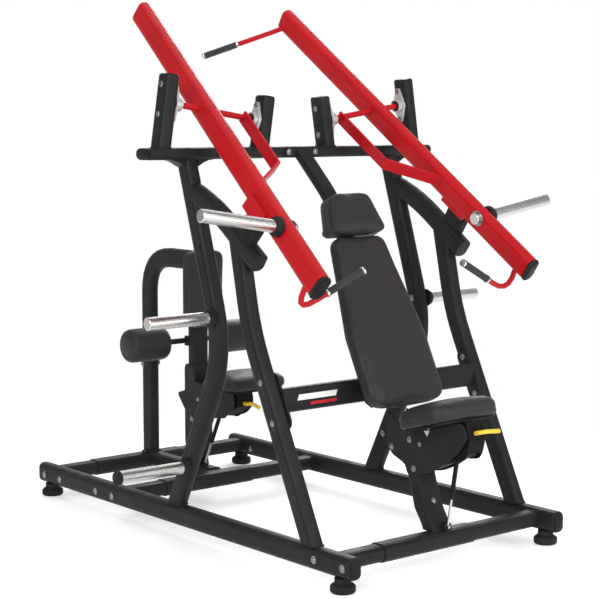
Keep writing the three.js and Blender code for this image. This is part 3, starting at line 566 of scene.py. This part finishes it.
def welds(name, body, loops, material, radius):
    """Closed or open beads that follow the given point lists."""
    curve = bpy.data.curves.new(name, "CURVE")
    curve.dimensions = "3D"
    curve.bevel_depth = radius * MM
    curve.bevel_resolution = 2
    for points, closed in loops:
        spline = curve.splines.new("POLY")
        spline.points.add(len(points) - 1)
        for i, point in enumerate(points):
            spline.points[i].co = (*point, 1.0)
            spline.points[i].radius = 1.0 + BEAD_RIPPLE * math.sin(BEAD_RIPPLE_STEP * i)
        spline.use_cyclic_u = closed
    curve.materials.append(material)
    obj = bpy.data.objects.new(name, curve)
    bpy.context.scene.collection.objects.link(obj)
    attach(obj, body)


def section_loop(center, half_u, half_v, axis_u, axis_v, radius):
    """A dense rounded-rectangle loop of points around a tube."""
    outline = outline_rect(2 * half_u, 2 * half_v, radius, 6)
    u = Vector(axis_u).normalized()
    v = Vector(axis_v).normalized()
    corners = [Vector(point) for point in outline]
    points = []
    for i, corner in enumerate(corners):
        following = corners[(i + 1) % len(corners)]
        steps = max(1, round((following - corner).length / WELD_STEP))
        for step in range(steps):
            spot = corner.lerp(following, step / steps)
            points.append(center + (u * spot.x + v * spot.y) * MM)
    return points


# ---------- upholstery ----------
def evaluated_copy(obj):
    graph = bpy.context.evaluated_depsgraph_get()
    return bpy.data.meshes.new_from_object(obj.evaluated_get(graph), depsgraph=graph)


def remeshed(node_name, name, gap, out):
    """A voxel copy of a CAD pad, squeezed so that it starts a gap above the pad's back face."""
    mesh = frame["nodes"][node_name].data.copy()
    obj = bpy.data.objects.new(name, mesh)
    bpy.context.scene.collection.objects.link(obj)
    back = min(vertex.co.dot(out) for vertex in mesh.vertices)
    front = max(vertex.co.dot(out) for vertex in mesh.vertices)
    for vertex in mesh.vertices:
        depth = vertex.co.dot(out)
        share = (depth - back) / (front - back)
        vertex.co += out * gap * MM * (1 - share)
    modifier = obj.modifiers.new("voxels", "REMESH")
    modifier.mode = "VOXEL"
    modifier.voxel_size = VOXEL * MM
    shrink = obj.modifiers.new("shrink", "DISPLACE")
    shrink.strength = -COVER_INSET * MM
    shrink.mid_level = 0.0
    relax = obj.modifiers.new("relax", "SMOOTH")
    relax.factor = 0.5
    relax.iterations = 5
    mesh = evaluated_copy(obj)
    obj.modifiers.clear()
    obj.data = mesh
    return obj, back + gap * MM


def inflate(obj, back, out, swell):
    """Blows the cover up with cloth pressure while its back face stays on the board."""
    start = [vertex.co.copy() for vertex in obj.data.vertices]
    held = back + PINNED_BAND * MM
    pinned = [vertex.index for vertex in obj.data.vertices if vertex.co.dot(out) < held]
    group = obj.vertex_groups.new(name="board")
    group.add(pinned, 1.0, "REPLACE")
    cloth = obj.modifiers.new("cloth", "CLOTH")
    settings = cloth.settings
    settings.quality = 5
    settings.mass = 0.3
    settings.tension_stiffness = 60
    settings.compression_stiffness = 60
    settings.shear_stiffness = 30
    settings.bending_stiffness = 8
    settings.use_pressure = True
    settings.uniform_pressure_force = SIM_PRESSURE
    settings.vertex_group_mass = "board"
    settings.effector_weights.gravity = 0
    cloth.point_cache.frame_start = 1
    cloth.point_cache.frame_end = SIM_FRAMES
    for number in range(1, SIM_FRAMES + 1):
        bpy.context.scene.frame_set(number)
    mesh = evaluated_copy(obj)
    for vertex, rest in zip(mesh.vertices, start):
        move = vertex.co - rest
        if move.length > swell * MM:
            vertex.co = rest + move.normalized() * swell * MM
    obj.modifiers.clear()
    obj.data = mesh
    settle = obj.modifiers.new("settle", "SMOOTH")
    settle.factor = 0.5
    settle.iterations = 10
    mesh = evaluated_copy(obj)
    obj.modifiers.clear()
    obj.data = mesh
    bpy.context.scene.frame_set(1)


def press_seam(obj, back, out, level):
    """Pulls the cover in along a seam at a height above its board, on its side walls."""
    normals = [vertex.normal.copy() for vertex in obj.data.vertices]
    for vertex, normal in zip(obj.data.vertices, normals):
        facing = 1 - abs(normal.dot(out))
        height = vertex.co.dot(out) - back
        pull = math.exp(-(((height - level * MM) / (SEAM_WIDTH * MM)) ** 2))
        vertex.co -= normal * SEAM_DEPTH * MM * pull * min(1.0, facing * 2)


def pad(node_name, out, body, gap, swell, seam, shape=None):
    """A stuffed vinyl cover that stands for a CAD pad. out points away from its board."""
    name = node_name.replace("_pad", "") + "_cover"
    out = Vector(out).normalized()
    obj, back = remeshed(node_name, name, gap, out)
    if shape is not None:
        shape(obj.data, back, out)
    inflate(obj, back, out, swell)
    press_seam(obj, back, out, seam)
    obj.data.materials.clear()
    obj.data.materials.append(VINYL)
    obj.data.shade_smooth()
    subdivision = obj.modifiers.new("subdivision", "SUBSURF")
    subdivision.levels = 1
    subdivision.render_levels = 1
    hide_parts(node_name)
    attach(obj, body)


def rim_depth(across, forward, half_width, half_length, corner):
    """How far a point is inside a rounded rectangle's outline. All in metres."""
    over_x = abs(across) - (half_width - corner)
    over_y = abs(forward) - (half_length - corner)
    outside = math.hypot(max(over_x, 0), max(over_y, 0)) + min(max(over_x, over_y), 0)
    return corner - outside


def saddle(size, center, along):
    """A seat shape: a crowned middle and a rim that rolls down, most at the end `along` points to."""
    along = Vector(along).normalized()
    half_width = size["width"] / 2 * MM
    half_length = size["depth"] / 2 * MM
    rim = ROLLED_RIM * MM

    def shape(mesh, back, out):
        top = max(vertex.co.dot(out) for vertex in mesh.vertices) - back
        for vertex in mesh.vertices:
            share = max(0.0, (vertex.co.dot(out) - back) / top)
            across = vertex.co.x - center.x
            forward = (vertex.co - center).dot(along)
            middle_x = max(0.0, 1 - (across / half_width) ** 2)
            middle_y = max(0.0, 1 - (forward / half_length) ** 2)
            rise = SEAT_CROWN * MM * middle_x * middle_y
            inside = rim_depth(across, forward, half_width, half_length, SEAT_CORNER * MM)
            missing = max(0.0, rim - max(0.0, inside))
            roll = rim - math.sqrt(max(0.0, rim ** 2 - missing ** 2))
            lean_back = 0.5 + 0.5 * max(-1.0, min(1.0, forward / half_length))
            drop = RIM_DROP[0] + (RIM_DROP[1] - RIM_DROP[0]) * lean_back
            vertex.co += out * (rise - roll * drop) * share ** 1.5
    return shape


def board(name, body, outline, place, thickness):
    loops = plate_loops(outline, place, thickness, 2)
    piece(name, mesh_from(name, [loops]), PLASTIC, body)


def upholstery():
    for node_name, lean, gap, swell, seam in COVERS:
        out = (0, -math.cos(lean), math.sin(lean))
        pad(node_name, out, "frame", gap, swell, seam)
    for unit in (FRONT_UNIT, REAR_UNIT):
        name = unit["name"]
        low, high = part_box(f"{name}_seat_pad")
        center = (Vector(low) + Vector(high)) / 2
        up = (0, math.sin(unit["tilt"]), math.cos(unit["tilt"]))
        along = (0, math.cos(unit["tilt"]), -math.sin(unit["tilt"]))
        shape = saddle(SEAT_PADS[name], center, along)
        pad(f"{name}_seat_pad", up, f"{name}_seat", SEAT_GAP, SEAT_SWELL, SEAT_SEAM, shape)


def back_boards():
    """Moulded backs of the backrest and headrest, set in from their rims."""
    for name, y, z, lean, length, bottom, top, waist, thickness in BACK_BOARDS:
        up = Vector((0, math.sin(lean), math.cos(lean)))
        out = Vector((0, -up.z, up.y))
        origin = at(0, y, z) - out * thickness * MM
        low = bottom / 2 - BOARD_INSET
        high = top / 2 - BOARD_INSET
        end = length - BOARD_INSET
        right = [
            (low - BOARD_CHAMFER, BOARD_INSET),
            (low, BOARD_INSET + BOARD_CHAMFER),
            (low, waist),
            (high, end - BOARD_CHAMFER),
            (high - BOARD_CHAMFER, end),
        ]
        outline = right + [(-x, y) for x, y in reversed(right)]
        board(name, "frame", outline, basis(origin, out, (1, 0, 0)), BOARD_THICKNESS)


def chest_board():
    size = CHEST_BOARD
    place = basis(at(*size["place"]), (0, -1, 0), (1, 0, 0))
    outline = outline_rect(size["width"], size["height"], size["corner"])
    board("chest_board", "frame", outline, place, size["thickness"])


def seat_boards():
    for unit in (FRONT_UNIT, REAR_UNIT):
        name = unit["name"]
        size = SEAT_PADS[name]
        shift = Matrix.Translation((0, -size["u"] * MM, SEAT_BOARD["level"] * MM))
        width = size["width"] - SEAT_BOARD["inset"]
        depth = size["depth"] - SEAT_BOARD["inset"]
        outline = outline_rect(width, depth, SEAT_BOARD["corner"])
        place = unit_matrix(unit) @ shift
        board(f"{name}_seat_board", f"{name}_seat", outline, place, SEAT_BOARD["thickness"])


# ---------- rollers, horns and grips ----------
def roller_covers():
    length = ROLLER["outer"] - ROLLER["inner"]
    radius = ROLLER["radius"]
    inner_end = [(13.6, 1), (44, 0), (60, 3), (69, 10), (73, 20), (radius, 30)]
    outer_end = [(radius, -30), (73, -20), (69, -10), (61, -4), (54, -2), (51, -4.5), (48, -2),
                 (30, 0.5), (0.5, 1)]
    profile = [*inner_end, (radius, length / 2), *((r, length + rise) for r, rise in outer_end)]
    for side, sign in SIDES:
        place = basis(at(sign * ROLLER["inner"], ROLLER["y"], ROLLER["z"]), (sign, 0, 0), (0, 1, 0))
        name = f"{side}_roller_cover"
        mesh = mesh_from(name, [turned(profile, place, 64)])
        obj = piece(name, mesh, VINYL, f"{side}_roller", 70)
        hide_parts(f"{side}_thigh_roller")
        turned_piece(f"{side}_roller_stop", "frame", ROLLER_STOP, place, PLASTIC)


def storage_details():
    for side, sign in SIDES:
        for level, y, z, tip in STORAGE_HORNS:
            base = basis(at(sign * (RAIL_X + RAIL_HALF), y, z), (sign, 0, 0), (0, 1, 0))
            name = f"{side}_{level}_horn"
            turned_piece(f"{name}_collar", "frame", HORN_COLLAR, base, RUBBER)
            if level == "lower":
                end = basis(at(sign * tip, y, z), (sign, 0, 0), (0, 1, 0))
                turned_piece(f"{name}_cap", "frame", HORN_CAP, end, RUBBER)


def arm_matrix(sign):
    """From the arm's own axes (x along the pivot, y to the rear along the tube) to the frame."""
    pivot = Vector((sign * abs(PIVOT.x), PIVOT.y, PIVOT.z))
    lean = Matrix.Rotation(-sign * ARM_LEAN, 4, "Y")
    pitch = Matrix.Rotation(ARM_PITCH, 4, "X")
    return Matrix.Translation(pivot) @ lean @ pitch


def arm_point(sign, x, y, z):
    return Vector((sign * x * MM, y * MM, z * MM))


def weight_horn_details(side, sign):
    """A rubber collar and, on the inner side, a washer where the plate horn passes through the arm."""
    arm = arm_matrix(sign)
    body = f"{side}_arm"
    outward = arm.to_3x3() @ Vector((sign, 0, 0))
    outer = arm @ arm_point(sign, ARM_HALF_WIDTH, HORN["along"], HORN["up"])
    place = basis(outer, outward, (0, 1, 0))
    turned_piece(f"{side}_weight_collar", body, WEIGHT_COLLAR, place, RUBBER)
    inner = arm @ arm_point(sign, -ARM_HALF_WIDTH, HORN["along"], HORN["up"])
    place = basis(inner, -outward, (0, 1, 0))
    turned_piece(f"{side}_horn_washer", body, HORN_WASHER, place, BOLT)


def grip_details(side, sign):
    """A chrome cap and ring at the two ends of each rubber grip."""
    arm = arm_matrix(sign)
    body = f"{side}_arm"
    for label, grip in (("press", PRESS_GRIP), ("pulldown", PULL_GRIP)):
        tip = arm @ arm_point(sign, *grip["tip"])
        back = (arm @ arm_point(sign, *grip["toward"]) - tip).normalized()
        place = basis(tip, back, (0, 0, 1))
        turned_piece(f"{side}_{label}_grip_cap", body, GRIP_CAP, place, CHROME)
        place = basis(tip + back * grip["length"] * MM, back, (0, 0, 1))
        turned_piece(f"{side}_{label}_grip_ring", body, GRIP_RING, place, CHROME)


def arm_welds(side, sign):
    """Beads around the shaft on both faces of the arm, and one along its brace."""
    arm = arm_matrix(sign)
    radius = ARM_BEAD_RADIUS * MM
    angles = [2 * math.pi * i / ARM_BEAD_POINTS for i in range(ARM_BEAD_POINTS)]
    beads = []
    for x in (ARM_HALF_WIDTH + 1, -ARM_HALF_WIDTH - 1):
        shaft = Vector((sign * x * MM, 0, 0))
        rim = [Vector((0, math.cos(angle), math.sin(angle))) * radius for angle in angles]
        beads.append(([arm @ (shaft + spot) for spot in rim], True))
    brace = [arm @ arm_point(sign, -ARM_HALF_WIDTH - 1, BRACE_FOOT, z) for z in range(-25, 26, 4)]
    beads.append((brace, False))
    welds(f"{side}_arm_welds", f"{side}_arm", beads, ARM_PAINT, ARM_BEAD)


def arm_cap_boss(side, sign):
    """A raised panel on the arm's plastic end cap."""
    arm = arm_matrix(sign)
    turn = arm.to_3x3()
    face = arm @ Vector((0, -ARM_CAP_FACE * MM, 0))
    place = basis(face, turn @ Vector((0, -1, 0)), turn @ Vector((1, 0, 0)))
    name = f"{side}_arm_cap_boss"
    mesh = mesh_from(name, [plug(ARM_BOSS, place)])
    piece(name, mesh, PLASTIC, f"{side}_arm")


def bearing_details(side, sign):
    """Bolts on the bearings' flanges and a seal around the shaft."""
    pivot = Vector((sign * abs(PIVOT.x), PIVOT.y, PIVOT.z))
    lean = Matrix.Translation(pivot) @ Matrix.Rotation(-sign * ARM_LEAN, 4, "Y")
    places = []
    rings = []
    for face, inward in BEARING_FACES:
        normal = lean.to_3x3() @ Vector((sign * inward, 0, 0))
        base = sign * (face - inward) * MM
        flange = base + sign * inward * BEARING_FLANGE * MM
        for height in (-BEARING_REACH, BEARING_REACH):
            places.append((lean @ Vector((flange, 0, height * MM)), normal))
        seal = lean @ Vector((base + sign * inward * BEARING_DEPTH * MM, 0, 0))
        rings.append(turned(BEARING_SEAL, basis(seal, normal, (0, 1, 0)), 36))
    bolts(f"{side}_bearing_bolts", "frame", places, BOLT_MEDIUM)
    name = f"{side}_bearing_seals"
    piece(name, mesh_from(name, rings), PLASTIC, "frame")


# ---------- frame hardware ----------
def unit_matrix(unit):
    origin = at(0, unit["y"], unit["z"])
    return Matrix.Translation(origin) @ Matrix.Rotation(-unit["tilt"], 4, "X")


def frame_bolts():
    outer = RAIL_X + RAIL_HALF
    inner = RAIL_X - RAIL_HALF
    large = []
    medium = []
    for _, sign in SIDES:
        large += [(at(sign * outer, y, z), (sign, 0, 0)) for y, z in RAIL_BOLTS]
        large += [(at(sign * inner, y, z), (-sign, 0, 0)) for y, z in (*REAR_LEG_BOLTS, RAIL_INNER_BOLT)]
        medium += [(at(sign * outer, y, z), (sign, 0, 0)) for y, z in LEG_BOLTS]
        medium += [(at(sign * (inner - TIE_PLATE), y, z), (-sign, 0, 0)) for y, z in LEG_BOLTS]
        medium += [(at(sign * CHEEK_X, y, z), (sign, 0, 0)) for y, z in FRONT_CHEEK_BOLTS]
        medium += [(at(sign * CHEEK_X, y, z), (sign, 0, 0)) for y, z in REAR_MAST_BOLTS]
        medium.append((at(sign * CLAMP_BOLT[0], *CLAMP_BOLT[1:]), (0, -1, 0)))
        medium.append((at(sign * REAR_POST_X, *REAR_POST_BOLT), (sign, 0, 0)))
        for top_x, top_z, outward, heights in UPRIGHTS:
            normal = Vector((sign * math.cos(ARM_LEAN), 0, math.sin(ARM_LEAN))) * outward
            for z in heights:
                x = upright_x(top_x, top_z, z) + outward * RAIL_HALF / math.cos(ARM_LEAN)
                medium.append((at(sign * x, 0, z), normal))
    bolts("frame_bolts_large", "frame", large, BOLT_LARGE)
    bolts("frame_bolts_medium", "frame", medium, BOLT_MEDIUM)


def weld_ring(x, y, z, half_x, half_y, corner):
    """A closed bead around an upright tube."""
    return section_loop(at(x, y, z), half_x, half_y, (1, 0, 0), (0, 1, 0), corner), True


def frame_welds():
    """Beads around the ends of the tubes."""
    loops = []
    for _, sign in SIDES:
        x = sign * RAIL_X
        for y, slope in LEG_FEET:
            half_y = LEG_HALF_DEPTH * math.hypot(1, slope)
            loops.append(weld_ring(x, y, RAIL_TOP, RAIL_HALF, half_y, LEG_CORNER))
        top = weld_ring(x, LEG_TOP_Y, CROSSBAR_BOTTOM, RAIL_HALF, LEG_TOP_HALF_DEPTH, LEG_CORNER)
        loops.append(top)
        inner = sign * (RAIL_X - RAIL_HALF)
        for y in CROSS_TUBES_Y:
            center = at(inner, y, CROSS_TUBE["z"])
            loop = section_loop(center, *CROSS_TUBE["halves"], (0, 1, 0), (0, 0, 1), CROSS_TUBE["corner"])
            loops.append((loop, True))
        for top_x, top_z, _, _ in UPRIGHTS:
            foot = sign * upright_x(top_x, top_z, CROSSBAR_TOP)
            ring = weld_ring(foot, 0, CROSSBAR_TOP, UPRIGHT_FOOT_HALF, LEG_HALF_DEPTH, UPRIGHT_CORNER)
            loops.append(ring)
    for y, z, half_x, half_y, corner in POST_FEET:
        loops.append(weld_ring(0, y, z, half_x, half_y, corner))
    welds("frame_welds", "frame", loops, FRAME_PAINT, FRAME_BEAD)


def tie_plates():
    """Rounded plates that bolt the tie bar to the front legs."""
    ends = [Vector(point) for point in LEG_BOLTS]
    along = (ends[0] - ends[1]).normalized()
    start = math.atan2(along.y, along.x) - math.pi / 2
    outline = []
    for index, center in enumerate(ends):
        for i in range(ARC_STEPS + 1):
            angle = start + index * math.pi + math.pi * i / ARC_STEPS
            spot = center + Vector((math.cos(angle), math.sin(angle))) * TIE_PLATE_RADIUS
            outline.append((spot.x, spot.y))
    for side, sign in SIDES:
        inner = sign * (RAIL_X - RAIL_HALF)
        matrix = Matrix(((0, 0, -sign, inner * MM), (1, 0, 0, PLANE_Y), (0, 1, 0, 0), (0, 0, 0, 1)))
        mesh = mesh_from(f"{side}_tie_plate", [plate_loops(outline, matrix, TIE_PLATE, 1.5)])
        piece(f"{side}_tie_plate", mesh, FRAME_PAINT, "frame")


def tie_bar_stripes():
    """Two plain slanted stripes printed on the front of the tie bar."""
    stripes = (
        ("white_stripe", WHITE_PRINT, "frame_paint", -440, 190, 634, 656),
        ("red_stripe", RED_PRINT, "arm_paint", -378, 130, 612, 624),
    )
    front = TIE_BAR_FRONT * MM + PLANE_Y
    place = Matrix(((1, 0, 0, 0), (0, 0, -1, front), (0, 1, 0, 0), (0, 0, 0, 1)))
    for name, material, slot, left, width, low, high in stripes:
        lean = (high - low) * STRIPE_SLANT
        outline = [(left, low), (left + width, low), (left + width + lean, high), (left + lean, high)]
        mesh = mesh_from(name, [plate_loops(outline, place, STRIPE_THICKNESS, PRINT_EDGE)])
        piece(name, mesh, material, "frame")


def end_caps():
    """Plastic plugs in the open ends of the rails, crossbar and uprights."""
    groups = []
    for _, sign in SIDES:
        for end, direction in zip(RAIL_ENDS, (-1, 1)):
            place = basis(at(sign * RAIL_X, end, RAIL_MIDDLE), (0, direction, 0), (1, 0, 0))
            groups.append(plug(RAIL_PLUG, place))
        middle = (CROSSBAR_TOP + CROSSBAR_BOTTOM) / 2
        place = basis(at(sign * CROSSBAR_END, 0, middle), (sign, 0, 0), (0, 1, 0))
        groups.append(plug(CROSSBAR_PLUG, place))
        for top_x, top_z, _, _ in UPRIGHTS:
            up = (-sign * math.sin(ARM_LEAN), 0, math.cos(ARM_LEAN))
            place = basis(at(sign * top_x, 0, top_z), up, (1, 0, 0))
            groups.append(plug(UPRIGHT_PLUG, place))
    piece("tube_end_caps", mesh_from("tube_end_caps", groups), PLASTIC, "frame")


def cheek_details():
    """Printed pointers and pivot rings on the seat housings."""
    pointers = []
    for _, sign in SIDES:
        x = sign * (CHEEK_X + 0.2)
        matrix = Matrix(((0, 0, sign, x * MM), (1, 0, 0, PLANE_Y), (0, 1, 0, 0), (0, 0, 0, 1)))
        pointers.append(plate_loops(POINTER, matrix, POINTER_THICKNESS, PRINT_EDGE))
    piece("seat_pointers", mesh_from("seat_pointers", pointers), WHITE_PRINT, "frame")
    rings = []
    for _, sign in SIDES:
        for y, z in HOUSING_PIVOTS:
            place = basis(at(sign * CHEEK_X, y, z), (sign, 0, 0), (0, 1, 0))
            rings.append(turned(PIVOT_RING, place, 28))
    piece("seat_pivot_rings", mesh_from("seat_pivot_rings", rings), BOLT, "frame")


def column_details():
    """Ribs and a bolt on the front face of the front seat's column."""
    unit = unit_matrix(FRONT_UNIT)
    lower = Vector(COLUMN_FACE[0])
    rise = (Vector(COLUMN_FACE[1]) - lower).normalized()
    normal = (unit.to_3x3() @ Vector((0, -rise.y, -rise.x))).normalized()
    ribs = []
    for height in COLUMN_RIBS:
        spot = lower + rise * height
        place = basis(unit @ Vector((0, -spot.x * MM, spot.y * MM)), normal, (1, 0, 0))
        ribs.append(plug(COLUMN_RIB, place))
    piece("front_column_ribs", mesh_from("front_column_ribs", ribs), FRAME_PAINT, "frame")
    bolt = unit @ Vector((COLUMN_BOLT_X * MM, -lower.x * MM, lower.y * MM))
    bolts("front_column_bolt", "frame", [(bolt, normal)], BOLT_MEDIUM)


# ---------- stage ----------
def floor_paint():
    """White paint that, to the camera only, fades out with distance from the machine."""
    surface = Surface("floor_paint", 0.6)
    surface.color(surface.mix(surface.noise(3, 4), (0.86, 0.86, 0.86), (0.9, 0.9, 0.9)))
    surface.shader.inputs["Emission Color"].default_value = (1, 1, 1, 1)
    surface.shader.inputs["Emission Strength"].default_value = FLOOR_GLOW
    distance = surface.nodes.new("ShaderNodeVectorMath")
    distance.operation = "LENGTH"
    surface.links.new(surface.coords, distance.inputs[0])
    fade = surface.nodes.new("ShaderNodeMapRange")
    fade.interpolation_type = "SMOOTHSTEP"
    fade.inputs["From Min"].default_value = FLOOR_FADE[0]
    fade.inputs["From Max"].default_value = FLOOR_FADE[1]
    surface.links.new(distance.outputs["Value"], fade.inputs["Value"])
    ray = surface.nodes.new("ShaderNodeLightPath")
    hidden = surface.math("MULTIPLY", fade.outputs["Result"], ray.outputs["Is Camera Ray"])
    clear = surface.nodes.new("ShaderNodeBsdfTransparent")
    blend = surface.nodes.new("ShaderNodeMixShader")
    surface.links.new(hidden, blend.inputs["Fac"])
    surface.links.new(surface.shader.outputs["BSDF"], blend.inputs[1])
    surface.links.new(clear.outputs["BSDF"], blend.inputs[2])
    output = surface.nodes["Material Output"]
    surface.links.new(blend.outputs["Shader"], output.inputs["Surface"])
    return surface.material


def floor():
    """A floor that curves up into a wall behind the machine, as the camera sees it."""
    bm = bmesh.new()
    rings = [[bm.verts.new((x, y, z)) for x in (-FLOOR_REACH, FLOOR_REACH)] for y, z in FLOOR_PROFILE]
    for low, high in zip(rings, rings[1:]):
        bm.faces.new((low[0], low[1], high[1], high[0]))
    mesh = bpy.data.meshes.new("floor")
    bm.to_mesh(mesh)
    bm.free()
    mesh.shade_smooth()
    mesh.materials.append(floor_paint())
    obj = bpy.data.objects.new("floor", mesh)
    bpy.context.scene.collection.objects.link(obj)
    obj.matrix_world = Matrix.Rotation(CAMERA_AZIMUTH, 4, "Z")


def surroundings():
    """A world that is white to the camera and dimmer as a light."""
    world = bpy.data.worlds.new("studio")
    world.use_nodes = True
    nodes = world.node_tree.nodes
    background = nodes["Background"]
    background.inputs["Color"].default_value = (1, 1, 1, 1)
    ray = nodes.new("ShaderNodeLightPath")
    strength = nodes.new("ShaderNodeMapRange")
    strength.inputs["To Min"].default_value = AMBIENT
    strength.inputs["To Max"].default_value = 1.0
    world.node_tree.links.new(ray.outputs["Is Camera Ray"], strength.inputs["Value"])
    world.node_tree.links.new(strength.outputs["Result"], background.inputs["Strength"])
    bpy.context.scene.world = world
    bpy.context.scene.view_settings.view_transform = "Standard"


def lamps():
    for name, place, size, power in LAMPS:
        light = bpy.data.lights.new(name, "AREA")
        light.size = size
        light.energy = power
        lamp = bpy.data.objects.new(name, light)
        lamp.location = place
        lamp.rotation_euler = (Vector(LAMP_TARGET) - Vector(place)).to_track_quat("-Z", "Y").to_euler()
        bpy.context.scene.collection.objects.link(lamp)


def camera():
    data = bpy.data.cameras.new("camera")
    data.sensor_width = CAMERA_SENSOR
    data.lens = CAMERA_LENS
    data.clip_end = CAMERA_CLIP_END
    obj = bpy.data.objects.new("camera", data)
    level = Vector((-math.sin(CAMERA_AZIMUTH), math.cos(CAMERA_AZIMUTH), 0))
    view = level * math.cos(CAMERA_ELEVATION) - Vector((0, 0, math.sin(CAMERA_ELEVATION)))
    obj.location = at(*CAMERA_PLACE)
    obj.rotation_euler = view.to_track_quat("-Z", "Y").to_euler()
    bpy.context.scene.collection.objects.link(obj)
    bpy.context.scene.camera = obj


# ---------- assembly ----------
paint_frame()
upholstery()
back_boards()
chest_board()
seat_boards()
roller_covers()
storage_details()
for side_name, side_sign in SIDES:
    weight_horn_details(side_name, side_sign)
    grip_details(side_name, side_sign)
    arm_welds(side_name, side_sign)
    arm_cap_boss(side_name, side_sign)
    bearing_details(side_name, side_sign)
frame_bolts()
frame_welds()
tie_plates()
tie_bar_stripes()
end_caps()
cheek_details()
column_details()
floor()
surroundings()
lamps()
camera()
